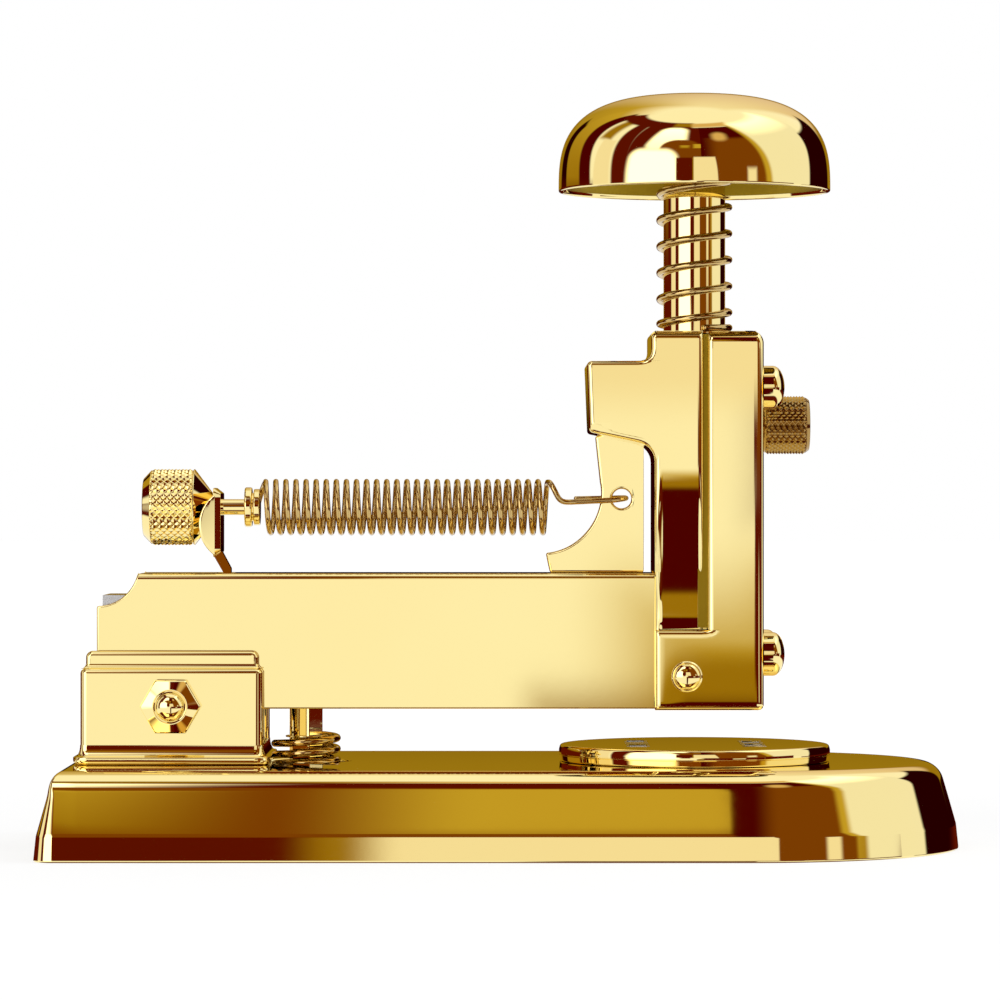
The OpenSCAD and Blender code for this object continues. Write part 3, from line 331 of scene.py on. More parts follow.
def rounded(corners: Sequence[Triple], steps: int = 6, guard: float = 0.12) -> Array:
    """Joins corners by straight lines and eases each one with an arc.

    An arc's middle lies on the corner's bisector at radius / sin(half the corner's angle). A guard point
    beside each arc keeps the flats flat when they are shaded.

    Args:
        corners: Two coordinates and an arc radius for each corner.
        steps: Parts of each arc.
        guard: Distance of the guard points from the arc.

    Returns:
        Points along the eased line, two coordinates a row.
    """
    spots = np.array(corners, float)
    line = [spots[:1, :2]]
    for before, here, after in zip(spots[:-2], spots[1:-1], spots[2:]):
        u = (before - here)[:2] / np.linalg.norm((before - here)[:2])
        v = (after - here)[:2] / np.linalg.norm((after - here)[:2])
        half = np.arccos(np.clip(u @ v, -1, 1)) / 2
        if here[2] <= 0:
            line.append(here[None, :2])
            continue
        reach = here[2] / np.tan(half)
        middle = here[:2] + (u + v) / np.linalg.norm(u + v) * here[2] / np.sin(half)
        sweep = pi - 2 * half
        part = np.linspace(0, 1, steps + 1)[:, None]
        arc = (np.sin((1 - part) * sweep) * (u * reach + here[:2] - middle)
               + np.sin(part * sweep) * (v * reach + here[:2] - middle)) / np.sin(sweep) + middle
        line += [here[None, :2] + u * (reach + guard), arc, here[None, :2] + v * (reach + guard)]
    line.append(spots[-1:, :2])
    return np.concatenate(line)


def revolve(profile: Array, axis: Axis, centre: Triple, columns: int = 72) -> Array:
    """Turns a profile round an axis: at angle a, radius r lies at (r cos a, r sin a) across it.

    Args:
        profile: Radius and place along the axis, one point a row.
        axis: The axis it turns round.
        centre: A point on the axis, from which the places are measured.
        columns: Points round the axis.

    Returns:
        Rows by columns by three.
    """
    angle = np.arange(columns) * TURN / columns
    along, first, second = axis.value
    points = np.empty((len(profile), columns, 3))
    points[..., along] = profile[:, 1:]
    points[..., first] = profile[:, :1] * np.cos(angle)
    points[..., second] = profile[:, :1] * np.sin(angle)
    return points + np.asarray(centre, float)


def rectangle(half: Pair, corner: float, out: Array, guard: float = 0.3) -> Array:
    """Walks round a rectangle with rounded corners, at each distance out from it.

    Each corner's points lie along (cos a, sin a) from the corner's own middle, at its radius and the distance
    out. A guard point before and after each corner keeps the sides flat when they are shaded.

    Args:
        half: Half its two sides.
        corner: Radius of its corners.
        out: Distances out, one a row.
        guard: Distance of the guard points from the corner.

    Returns:
        Rows by columns by two.
    """
    bend = np.concatenate([[0], np.linspace(0, pi / 2, 8), [pi / 2]])
    angle = (np.arange(4)[:, None] * pi / 2 + bend).ravel()
    middle = np.repeat(((1, 1), (-1, 1), (-1, -1), (1, -1)), len(bend), axis=0) * (np.array(half) - corner)
    beside = np.tile([-guard] + [0] * (len(bend) - 2) + [guard], 4)[:, None]
    middle = middle + beside * np.stack([-np.sin(angle), np.cos(angle)], axis=1)
    return middle + (corner + out[:, None, None]) * np.stack([np.cos(angle), np.sin(angle)], axis=1)


def lifted(plan: Array, height: Array) -> Array:
    """Adds a third coordinate to a plan, the same along each row.

    Args:
        plan: Rows by columns by two.
        height: The third coordinate, one a row.

    Returns:
        Rows by columns by three.
    """
    return np.concatenate([plan, np.broadcast_to(height[:, None, None], (*plan.shape[:2], 1))], axis=-1)


def hexagon(angle: Array, flats: float, turn: float, cut: float) -> Array:
    """Draws a hexagon in polar form: flats / 2 / cos of the angle from the nearest flat's middle.

    Args:
        angle: Angles in radians.
        flats: Width across the flats.
        turn: How far the hexagon is turned, in radians.
        cut: Greatest radius, as a share of half the flats, where the corners are cut.

    Returns:
        The radius at each angle.
    """
    beam = (angle + turn) % (pi / 3) - pi / 6
    return np.minimum(flats / 2 / np.cos(beam), flats / 2 * cut)


def ringed(rows: Sequence[tuple], angle: Array) -> tuple[Array, Array]:
    """Spreads each row's radius and place over all the angles.

    Args:
        rows: Radius and place of each row, as one number or as one for each angle.
        angle: The angles.

    Returns:
        Radii and places, both rows by columns.
    """
    radius, place = (np.stack([np.broadcast_to(v, angle.shape) for v in values]) for values in zip(*rows))
    return radius, place


def spread(start: float, stop: float, count: int, crowd: float = 0.8) -> Array:
    """Spaces points from start to stop, closer at both ends as on a half circle."""
    t = np.linspace(0, 1, count)
    return start + (stop - start) * ((1 - crowd) * t + crowd * (1 - np.cos(pi * t)) / 2)


def joined(*runs: Array) -> Array:
    """Joins runs of places in rising order, with shared ends once."""
    return np.unique(np.concatenate(runs))


def mirrored(half: Array, sign: int = 1) -> Array:
    """Joins one half's columns, times the sign, to their mirror image, with the middle column once."""
    return np.concatenate([sign * half, half[..., -2::-1]], axis=-1)


def distance(points: Array, line: Array) -> Array:
    """Measures each point's distance from a line of straight parts.

    Args:
        points: Points of two coordinates, in any array shape.
        line: The line's corners, one a row.

    Returns:
        The least distance over the parts, in the points' array shape.
    """
    start, part = line[:-1], np.diff(line, axis=0)
    away = points[..., None, :] - start
    share = np.clip((away * part).sum(-1) / np.maximum((part ** 2).sum(-1), 1e-12), 0, 1)
    return np.linalg.norm(away - share[..., None] * part, axis=-1).min(axis=-1)


def tube(path: Array, radius: float, aside: Array, sides: int = 14, blunt: float = 0.5) -> Array:
    """Carries a round wire along a path, with rounded ends.

    Each ring lies across the path's heading, from a direction that points aside from it.

    Args:
        path: Points of the wire's middle, one a row.
        radius: The wire's radius.
        aside: For each path point, a direction that isn't along the path.
        sides: Points round the wire.
        blunt: How far each end stands out, as a share of the radius.

    Returns:
        Rings by sides by three, closed by a pole at each end.
    """
    heading = np.gradient(path, axis=0)
    heading /= np.linalg.norm(heading, axis=1, keepdims=True)
    first = aside - (aside * heading).sum(1, keepdims=True) * heading
    first /= np.linalg.norm(first, axis=1, keepdims=True)
    second = np.cross(heading, first)
    angle = np.arange(sides) * TURN / sides
    ring = first[:, None] * np.cos(angle)[:, None] + second[:, None] * np.sin(angle)[:, None]
    cap = np.linspace(0, pi / 2, 4)[:-1, None, None]
    start = path[0] - radius * blunt * np.cos(cap) * heading[0] + radius * np.sin(cap) * ring[0]
    cap = cap[::-1]
    stop = path[-1] + radius * blunt * np.cos(cap) * heading[-1] + radius * np.sin(cap) * ring[-1]
    return np.concatenate([start, path[:, None] + radius * ring, stop])


@dataclass(frozen=True)
class Coil:
    """A wound spring's turns round its own axis.

    Attributes:
        radius: Mean radius of the turns.
        wire: Diameter of the wire.
        start, stop: Ends of the turns along the axis.
        turns: How many turns.
        phase: Angle of the first end, in degrees.
        closed: Turns at each end that lie wire on wire.
        rings: Rings of points to a turn.
        snug: Rise of a closed turn, in widths of the wire.
        early, lead: How many turns before a closed end is over its rise begins to ease, and for how many.
    """

    radius: float
    wire: float
    start: float
    stop: float
    turns: float
    phase: float
    closed: float = 0.0
    rings: int = 40
    snug: float = 1.03
    early: float = 0.35
    lead: float = 0.5

    def path(self) -> Array:
        """Winds the turns: the angle grows evenly, and the rise eases from a wire's width to the pitch.

        Returns:
            Angle and place along the axis, one a row.
        """
        turn = np.linspace(0, self.turns, int(self.turns * self.rings) + 1)
        inside = np.minimum(turn, self.turns - turn)
        free = smooth((inside - self.closed + self.early) / self.lead) if self.closed else np.ones_like(turn)
        free_run = np.concatenate([[0], np.cumsum((free[1:] + free[:-1]) / 2 * np.diff(turn))])
        dead_run = self.wire * self.snug * (turn - free_run)
        rise = dead_run + free_run * (self.stop - self.start - dead_run[-1]) / free_run[-1]
        return np.stack([radians(self.phase) + TURN * turn, self.start + rise], axis=1)

    def upright(self, x: float) -> Array:
        """Stands the coil on Z at x, y = 0, right-handed.

        Args:
            x: Place of the axis.

        Returns:
            The wire's surface, rings by sides by three.
        """
        angle, z = self.path().T
        out = np.stack([np.cos(angle), np.sin(angle), np.zeros_like(angle)], axis=1)
        path = self.radius * out
        path[:, 0] += x
        path[:, 2] = z
        return tube(path, self.wire / 2, out)


def dress(piece: bpy.types.Object, finish: Finish, body: str | None, *nodes: str) -> bpy.types.Object:
    """Gives a piece its finish, the body it rides on and the solids that it stands for.

    Args:
        piece: The piece.
        finish: Its finish.
        body: The body it rides on, or None for a piece that bends between two.
        nodes: The solids that it replaces.

    Returns:
        The piece.
    """
    piece.data.materials.clear()
    piece.data.materials.append(finish.material())
    if body:
        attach(piece, body)
    if nodes:
        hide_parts(*nodes)
    log.info("%s rides %s, stands for %s", piece.name, body or "two bodies", ", ".join(nodes) or "nothing")
    return piece


def body_of_node(node: str) -> str:
    """Finds the body that a solid belongs to in the record."""
    return next(b for b, nodes in frame["record"]["behaviour"]["bodies"].items() if node in nodes)


def finish_of_node(node: str) -> Finish:
    """Finds the finish of a solid by its material slot in the record."""
    return SLOT_FINISH[next(p["material_slot"] for p in frame["record"]["subparts"] if p["node"] == node)]


def eased(node: str, width: float, angle: float = 28.0, segments: int = 3,
          warp: Callable[[Array], Array] | None = None) -> bpy.types.Object:
    """Copies a solid with its doubles merged and its edges rounded by a Bevel modifier.

    Args:
        node: The solid.
        width: How far each rounded edge reaches.
        angle: Edges that turn by more degrees than this are rounded.
        segments: Parts of each rounded edge.
        warp: Moves the copy's points.

    Returns:
        The dressed copy, which stands for the solid.
    """
    source = frame["nodes"][node].data
    points = np.empty(len(source.vertices) * 3)
    source.vertices.foreach_get("co", points)
    source.calc_loop_triangles()
    triangles = np.empty(len(source.loop_triangles) * 3, np.int32)
    source.loop_triangles.foreach_get("vertices", triangles)
    points = points.reshape(-1, 3) / MM
    piece = mesh_object("eased_" + node, warp(points) if warp else points, triangles.reshape(-1, 3), 180.0)
    shape = bmesh.new()
    shape.from_mesh(piece.data)
    bmesh.ops.dissolve_limit(shape, angle_limit=radians(COPLANAR), verts=shape.verts, edges=shape.edges)
    shape.to_mesh(piece.data)
    shape.free()
    piece.data.polygons.foreach_set("use_smooth", np.ones(len(piece.data.polygons), bool))
    ease = piece.modifiers.new("eased edges", "BEVEL")
    ease.width = width * MM
    ease.segments = segments
    ease.limit_method = "ANGLE"
    ease.angle_limit = radians(angle)
    ease.harden_normals = True
    ease.use_clamp_overlap = False
    flat = piece.modifiers.new("flat faces", "WEIGHTED_NORMAL")
    flat.keep_sharp = True
    flat.weight = FLAT_WEIGHT
    return dress(piece, finish_of_node(node), body_of_node(node), node)


@dataclass
class Base:
    """The cast base: skirt, crowned sides, shoulder, top and the lift spring's seat.

    Attributes:
        skirt_in, side_in: How far the tops of the skirt and the side lie in from the foot.
        crease: How far the crease over the skirt lies out and down from the skirt's top.
        lean, crown: The side's mean lean, and how far its foot and top differ from that, in degrees.
        rear_round: The shoulder's inset at the rear end, as a share of that at the sides.
        seat_lip: Width of the ring of points round the spring's seat.
        seat_round: Rounding of the seat's mouth, its floor and the bore's mouth.
    """

    length: float = 160.0
    half: float = 38.4
    top: float = 15.2
    skirt: float = 4.3
    skirt_in: float = 0.45
    side_top: float = 12.447
    side_in: float = 2.336
    corner: float = 3.7
    least_corner: float = 0.5
    rim: float = 3.0
    rim_round: float = 0.2
    sole: float = 2.2
    foot_round: float = 0.3
    crease: Pair = (0.012, 0.12)
    crown: float = 0.4
    rear_round: float = 0.6
    lean: float = 16.0
    flat_in: float = 0.3
    post_x: float = -35.2
    seat_lip: float = 1.2
    seat_r: float = 7.65
    seat_z: float = 12.7
    seat_round: Triple = (0.35, 0.4, 0.3)
    hole_r: float = 3.85
    boss_z: float = 7.5

    def outline(self, inset: Array) -> Array:
        """Draws the plan at each inset: a half circle in front, straight sides and two rear corners.

        Args:
            inset: How far in from the foot's outline, one number a row.

        Returns:
            Rows by columns by two.
        """
        inset = inset[:, None]
        behind = np.minimum(inset, self.side_in + (inset - self.side_in) * self.rear_round)
        front_x = self.length / 2 - self.half
        front_r, corner_r = self.half - inset, np.maximum(self.corner - inset, self.least_corner)
        arc = np.linspace(-pi / 2, pi / 2, 120, endpoint=False)
        bend = np.linspace(0, pi / 2, 16, endpoint=False)
        side = np.linspace(0, 1, 30, endpoint=False)
        half = np.broadcast_to(self.half - inset, (len(inset), len(side)))
        rear_line = np.linspace(1, -1, 12, endpoint=False)
        corner_x, corner_y = -self.length / 2 + behind + corner_r, self.half - inset - corner_r
        x = [front_x + front_r * np.cos(arc), front_x + (corner_x - front_x) * side,
             corner_x - corner_r * np.sin(bend),
             np.broadcast_to(-self.length / 2 + behind, (len(inset), len(rear_line))),
             corner_x - corner_r * np.cos(bend), corner_x + (front_x - corner_x) * side]
        y = [front_r * np.sin(arc), half, corner_y + corner_r * np.cos(bend), corner_y * rear_line,
             -corner_y - corner_r * np.sin(bend), -half]
        return np.stack([np.concatenate(x, axis=1), np.concatenate(y, axis=1)], axis=-1)

    def section(self) -> Array:
        """Draws the wall's section from the sole's recess out, up and over to the flat top.

        The side is an arc whose lean grows evenly, and the shoulder is an arc from there to level.

        Returns:
            Inset and height, one point a row.
        """
        foot = rounded([(self.rim, self.sole, 0), (self.rim, 0, self.rim_round), (0, 0, self.foot_round),
                        (self.skirt_in, self.skirt, 0)], 4)
        lean = np.radians(np.linspace(self.lean - self.crown, self.lean + self.crown, 14))
        chord = np.hypot(self.side_in - self.skirt_in, self.side_top - self.skirt)
        side_r = chord / (2 * np.sin(radians(self.crown)))
        side = np.stack([np.cos(lean[0]) - np.cos(lean), np.sin(lean) - np.sin(lean[0])], axis=1) * side_r
        side += (self.skirt_in, self.skirt)
        turn = np.linspace(lean[-1], pi / 2, 14)[1:]
        round_r = (self.top - side[-1, 1]) / (1 - np.sin(lean[-1]))
        shoulder = np.stack([np.cos(lean[-1]) - np.cos(turn), np.sin(turn) - np.sin(lean[-1])], axis=1)
        shoulder = shoulder * round_r + side[-1]
        return np.concatenate([foot[:-1], foot[-1:] - self.crease, side, shoulder,
                               shoulder[-1:] + (self.flat_in, 0)])

    def build(self) -> None:
        """Builds the base as one closed grid: the section round the plan, then in to the spring's seat."""
        section = self.section()
        plan = self.outline(section[:, 0])
        wall = lifted(plan, section[:, 1])
        away = plan[-1] - (self.post_x, 0)
        away /= np.linalg.norm(away, axis=1, keepdims=True)
        lip, floor, bore = self.seat_round
        seat = rounded([(self.seat_r + self.seat_lip, self.top, 0), (self.seat_r, self.top, lip),
                        (self.seat_r, self.seat_z, floor), (self.hole_r, self.seat_z, bore),
                        (self.hole_r, self.boss_z, 0)], 4)
        well = lifted((self.post_x, 0) + seat[:, :1, None] * away, seat[:, 1])
        dress(one_grid("cast_base", np.concatenate([wall, well, wall[:1]]), 30), GOLD, "base", "base")


@dataclass
class Pivot:
    """The rear pivot: block, nut and bolt end.

    Attributes:
        foot_in, foot_up: How far the foot reaches into the block, and up it over the cove.
        cove_in, cove_wide, cove_tall: The cove's start out from the block, its width and its height.
        nut_edge, nut_brow: Chamfer of the nut's rear edge, and the two steps that round its front edge.
        cone: Slope of the nut's front.
        ring_flat, ring_step: Width of the nut's front ring, and the step in and down from it to the bore.
        bore_deep: Depth of the bore's mouth behind the ring.
    """

    x: float = -58.1
    z: float = 25.4
    face_y: float = -13.65
    base_top: float = 15.2
    foot_half: Pair = (15.875, 13.65)
    foot_corner: float = 1.2
    foot_in: float = 0.6
    foot_up: float = 0.1
    cove_top: float = 18.6
    cove_in: float = 0.07
    cove_wide: float = 0.88
    cove_tall: float = 2.0
    flange_z: float = 16.6
    flange_in: float = 0.96
    flange_out: float = 1.3
    flange_round: Pair = (0.25, 0.8)
    flats: float = 9.2
    corner_cut: float = 1.145
    thick: float = 3.6
    bore: float = 2.5
    bore_deep: float = 0.2
    nut_edge: float = 0.2
    nut_brow: Pair = (0.07, 0.25)
    ring: float = 3.05
    ring_guard: float = 0.1
    ring_flat: float = 0.15
    ring_step: Pair = (0.25, 0.15)
    cone: float = 0.45
    end_r: float = 2.47
    end_y: float = -17.5
    dome: float = 1.56

    def foot(self) -> None:
        """Builds the block's foot: a quarter-ellipse cove out to a thin flange, round a rounded rectangle."""
        bend = np.linspace(0, pi / 2, 9)
        cove = np.stack([self.cove_in + self.cove_wide * (1 - np.cos(bend)),
                         self.cove_top - self.cove_tall * np.sin(bend)], axis=1)
        upper, lower = self.flange_round
        flange = rounded([(self.flange_in, self.flange_z, 0), (self.flange_out, self.flange_z, upper),
                          (self.flange_out, self.base_top, lower), (-self.foot_in, self.base_top, 0)],
                         5, 0.03)
        section = np.concatenate([[(-self.foot_in, self.cove_top + self.foot_up)], cove, flange])
        grid = lifted(rectangle(self.foot_half, self.foot_corner, section[:, 0]) + (self.x, 0), section[:, 1])
        dress(one_grid("coved_foot", np.concatenate([grid, grid[:1]])), GOLD, "base")

    def nut(self) -> None:
        """Builds the nut: a hexagon in polar form, eased at its edges and coned up to a ring."""
        angle = np.arange(144) * TURN / 144
        side = hexagon(angle, self.flats, pi / 3, self.corner_cut)
        brow = self.thick - (side - self.ring) * self.cone
        (near, far), (step_in, step_down) = self.nut_brow, self.ring_step
        rows = [(self.bore, 0), (side - self.nut_edge, 0), (side, self.nut_edge), (side, brow - far),
                (side - near, brow - near), (side - far, brow + far * self.cone),
                (self.ring + self.ring_guard, self.thick - self.ring_guard * self.cone),
                (self.ring, self.thick), (self.ring - self.ring_flat, self.thick),
                (self.ring - step_in, self.thick - step_down), (self.bore, self.thick - self.bore_deep),
                (self.bore, 0)]
        r, out = ringed(rows, angle)
        grid = np.stack([self.x + r * np.cos(angle), self.face_y - out, self.z + r * np.sin(angle)], axis=-1)
        dress(one_grid("hex_nut", grid, 20), GOLD, "base", "pivot_nut")

    def bolt_end(self) -> None:
        """Turns the bolt's end round Y: a short barrel under half an ellipse."""
        bend = np.linspace(0, pi / 2, 12)
        dome = np.stack([self.end_r * np.cos(bend), self.end_y - self.dome * np.sin(bend)], axis=1)
        profile = np.concatenate([[(0, self.face_y), (self.end_r, self.face_y)], dome])
        dress(one_grid("domed_bolt_end", revolve(profile, Axis.Y, (self.x, 0, self.z))), GOLD, "base")

    def build(self) -> None:
        """Builds the block, its nut and the bolt."""
        eased("pivot_block", 0.8, segments=4)
        self.foot()
        eased("pivot_bolt", 0.2)
        self.bolt_end()
        self.nut()


@dataclass
class Arm:
    """The long arm: magazine, anchor plate, stop post and lift spring.

    Attributes:
        corner_cut: Greatest radius of the post, as a share of half its flats.
        turn: How far the post is turned, in degrees.
        rear_trim: Heights on the anchor plate, and how far its rear edge moves forward there.
        rear_x, front_x: Where the plate's rear part ends and its front part starts.
        front_trim: How far its front edge moves forward.
        beak_trim, beak_x, beak_z: How far the beak at its foot draws in, and the beak's place.
    """

    post_x: float = -35.2
    flats: float = 5.4
    corner_cut: float = 1.14
    post_z0: float = 15.3
    post_z1: float = 24.75
    post_edge: float = 0.2
    turn: float = 17.0
    ring_r: Pair = (2.6, 3.6)
    ring_z: Pair = (19.4, 19.7)
    ring_round: float = 0.1
    spring: Coil = Coil(radius=5.5, wire=1.3, start=13.35, stop=19.7, turns=3.3, phase=-18.0)
    rear_trim: Sequence[Pair] = ((55, 0), (61, 0.25), (63, 0.35), (73, 0.45), (74, 0))
    rear_x: float = 18.0
    front_x: float = 23.0
    front_trim: float = 0.45
    beak_trim: float = 0.75
    beak_x: float = 8.0
    beak_z: float = 50.0

    def trimmed(self, points: Array) -> Array:
        """Shifts the anchor plate's edges: the rear and front edges forward, and the beak at its foot in.

        Args:
            points: The plate's points, one a row.

        Returns:
            The points with their shift along X.
        """
        x, z = points[:, 0], points[:, 2]
        shift = np.where(x < self.rear_x, np.interp(z, *zip(*self.rear_trim)), 0)
        shift += np.where(x > self.front_x, self.front_trim, 0)
        shift += np.where((x < self.beak_x) & (z < self.beak_z), self.beak_trim, 0)
        return points + np.stack([shift, 0 * x, 0 * x], axis=1)

    def post(self) -> None:
        """Builds the hex post, in polar form, and the spring's seat ring round it."""
        angle = np.arange(96) * TURN / 96
        side = hexagon(angle, self.flats, radians(self.turn), self.corner_cut)
        r, z = ringed([(0, self.post_z0), (side - self.post_edge, self.post_z0),
                       (side, self.post_z0 + self.post_edge), (side, self.post_z1), (0, self.post_z1)], angle)
        grid = np.stack([self.post_x + r * np.cos(angle), r * np.sin(angle), z], axis=-1)
        dress(one_grid("hex_post", grid, 20), GOLD, "arm", "stop_post")
        (inner, outer), (low, high) = self.ring_r, self.ring_z
        ring = rounded([(inner, low, 0), (outer, low, self.ring_round), (outer, high, self.ring_round),
                        (inner, high, 0), (inner, low, 0)], 3, 0.02)
        seat = one_grid("seat_ring", revolve(ring, Axis.Z, (self.post_x, 0, 0)))
        dress(seat, GOLD, "arm", "spring_seat_washer")

    def build(self) -> None:
        """Builds the arm's plain pieces as eased copies, then the post and the lift spring."""
        eased("magazine", 0.3)
        eased("spring_anchor_plate", 0.45, segments=4, warp=self.trimmed)
        self.post()
        spring = one_grid("wound_lift_spring", self.spring.upright(self.post_x), 60)
        dress(spring, WIRE, "base", "lift_spring")
        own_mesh(spring)


@dataclass
class Head:
    """The head: pressed housing, wrapped front cover, rivets and screws.

    Places are in X and Z and half-widths in Y. A corner has its place and the radius of its rounding.

    Attributes:
        knee_x, cover_knee: Where columns that follow a stepped edge give way to straight ones.
        chin_z, wall_z: Heights under the bulge and over the ledge where the rows change their spacing.
        press_steps: The pressed panel's steps: share of its depth, top and height of each.
        rim_step: Top and height of the rims' step.
        rear_rim, front_rim: How far in each rim's slope starts, and its width.
        foot_roll, front_roll: How far the cover's foot and its lower front roll in.
        foot_from, foot_run: Where the foot's roll starts, down from the skirt's top and in X, and its runs.
        front_from, front_run: Where the lower front's roll starts, in X and Z, and its runs.
        screw_spots: Height of each pair of screws, and how far they are turned in radians.
    """

    half: float = 12.5
    top: float = 90.8
    sheet_t: float = 1.3
    edge: float = 0.85
    crest: float = 1.5
    seam_x: float = 34.5
    column_x: float = 26.1
    knee_x: float = 28.0
    foot_z: float = 26.1
    neck: Pair = (70.7, 3.4)
    bulge_foot: Triple = (14.7, 73.1, 0.7)
    chin_z: float = 73.2
    bulge_top: Triple = (14.2, 85.5, 0.9)
    ledge: Triple = (25.45, 85.53, 2.0)
    wall_z: float = 87.2
    crown_round: float = 1.0
    crown_x: float = 27.0
    press_deep: float = 1.4
    press_z: Pair = (38.0, 69.0)
    press_steps: Sequence[Triple] = ((0.86, 67.5, 23.5), (0.08, 47.5, 8.5), (0.18, 40.4, 1.8))
    rim_step: Pair = (60.0, 20.0)
    rear_rim: Pair = (0.15, 1.2)
    front_rim: Pair = (0.1, 0.7)
    web_z: float = 48.7
    web_t: float = 1.0
    web_edge: float = 0.2
    web_drop: float = 0.4
    rod_x: float = 33.45
    rod_hole: float = 5.95
    hole_edge: float = 0.3
    cover_t: float = 1.0
    cover_x0: float = 35.3
    cover_x1: float = 45.1
    cover_z0: float = 24.6
    cover_knee: float = 36.9
    cover_round: float = 1.3
    cover_edge: float = 0.9
    skirt_x0: float = 26.1
    skirt_z: float = 38.6
    curl: float = 2.2
    corner: float = 1.4
    foot_roll: float = 0.09
    foot_from: Pair = (2.0, 27.5)
    foot_run: Pair = (12.0, 4.0)
    front_roll: float = 0.07
    front_from: Pair = (36.0, 62.0)
    front_run: Pair = (9.0, 25.0)
    strip_x: Triple = (33.6, 34.5, 36.4)
    strip_z: Triple = (39.0, 60.0, 90.2)
    strip_y: float = 11.3
    strip_t: float = 0.3
    rivet_x: float = 31.65
    rivet_z: float = 30.5
    rivet_sunk: float = 0.12
    rivet_flange: Sequence[Triple] = ((0, -3.2, 0), (1.6, -3.2, 0.1), (1.6, 0, 0), (2.7, 0, 0),
                                      (2.7, 0.3, 0.1), (2.45, 0.5, 0.08), (2.38, 0.44, 0))
    rivet_dome: Triple = (2.34, 0.42, 1.08)
    screw_r: float = 3.85
    screw_rim: float = 46.7
    screw_rise: float = 2.2
    screw_power: float = 0.9
    screw_y: float = 8.3
    screw_spots: Sequence[Pair] = ((34.3, 0.2), (80.9, -0.5))
    slot_x: float = 47.6
    slot_half: float = 0.6
    slot_wall: float = 0.01

    def rear_line(self) -> Array:
        """Draws the housing's rear edge upwards: column, bulge, crown."""
        return rounded([(self.column_x, self.foot_z, 0), (self.column_x, *self.neck), self.bulge_foot,
                        self.bulge_top, self.ledge, (self.ledge[0], self.top, self.crown_round),
                        (self.crown_x, self.top, 0)], 8, 0.05)[:-2]

    def pressed(self, x: Array, z: Array) -> Array:
        """Gives the depth of the pressed panel: S-curves down the strip, with rims that lean in later.

        Args:
            x, z: Places on the side.

        Returns:
            How far the side lies in from the head's half-width.
        """
        panel = sum(share * smooth((high - z) / tall) for share, high, tall in self.press_steps)
        rim = smooth((self.rim_step[0] - z) / self.rim_step[1])
        inner = smooth((x - self.column_x - self.rear_rim[0]) / self.rear_rim[1])
        inner = inner * smooth((self.seam_x - self.front_rim[0] - x) / self.front_rim[1])
        return self.press_deep * (rim + (panel - rim) * inner)

    def sides(self, shell: Shell, sign: int) -> None:
        """Adds one side of the housing: a flat sheet between the rear edge and the seam, pressed in below.

        Args:
            shell: The shell that takes it.
            sign: -1 for the near side, 1 for the far side.
        """
        rear = self.rear_line()
        low, high = self.press_z
        _, tip, tip_round = self.bulge_top
        z = joined(spread(self.foot_z, low, 6), np.linspace(low, high, 60),
                   np.linspace(high, self.chin_z, 18), spread(self.chin_z, tip - tip_round, 10),
                   np.linspace(tip - tip_round, tip, 8), np.linspace(self.ledge[1], self.wall_z, 8),
                   spread(self.wall_z, self.top, 18, 0.97))
        u = joined(np.linspace(0, 0.08, 8), np.linspace(0.08, 1, 22))
        v = joined(np.linspace(0, 0.7, 8), np.linspace(0.7, 0.87, 6), np.linspace(0.87, 1, 14))
        start = np.interp(z, rear[:, 1], rear[:, 0])[:, None]
        fixed = np.broadcast_to(self.knee_x + (self.seam_x - self.knee_x) * v[1:], (len(z), len(v) - 1))
        x = np.concatenate([start + (self.knee_x - start) * u, fixed], axis=1)
        z = np.broadcast_to(z[:, None], x.shape)
        y = sign * (self.half - self.sheet_t / 2 - self.pressed(x, z) - fall(self.top - z, self.crest))
        loop = np.concatenate([rear, [(self.seam_x, self.top), (self.seam_x, self.foot_z), rear[0]]])
        border = distance(np.stack([x, z], axis=-1), loop)
        shell.sheet(np.stack([x, y, z], axis=-1), np.array((0.0, sign, 0.0)), self.sheet_t, self.edge, border)

    def band(self, shell: Shell) -> None:
        """Adds the housing's rear wall: the rear edge carried across between the two sides.

        Args:
            shell: The shell that takes it.
        """
        rear = self.rear_line()
        line = np.concatenate([[(self.column_x, self.web_z)], rear[rear[:, 1] > self.web_z]])
        line[-1, 1] -= self.web_drop
        heading = np.gradient(line, axis=0)
        heading /= np.linalg.norm(heading, axis=1, keepdims=True)
        inward = np.stack([heading[:, 1], -heading[:, 0]], axis=1)
        inward *= np.sign(inward[:1, :1])
        line += inward * self.web_t / 2
        across = np.array((-1.0, -0.5, 0, 0.5, 1.0)) * (self.half - self.edge)
        y, x = np.meshgrid(across, line[:, 0])
        middle = np.stack([x, y, np.broadcast_to(line[:, 1:], x.shape)], axis=-1)
        normal = np.stack([-inward[:, 0], 0 * inward[:, 0], -inward[:, 1]], axis=1)[:, None, :]
        shell.sheet(middle, normal, self.web_t, self.web_edge, np.full(x.shape, self.web_t))

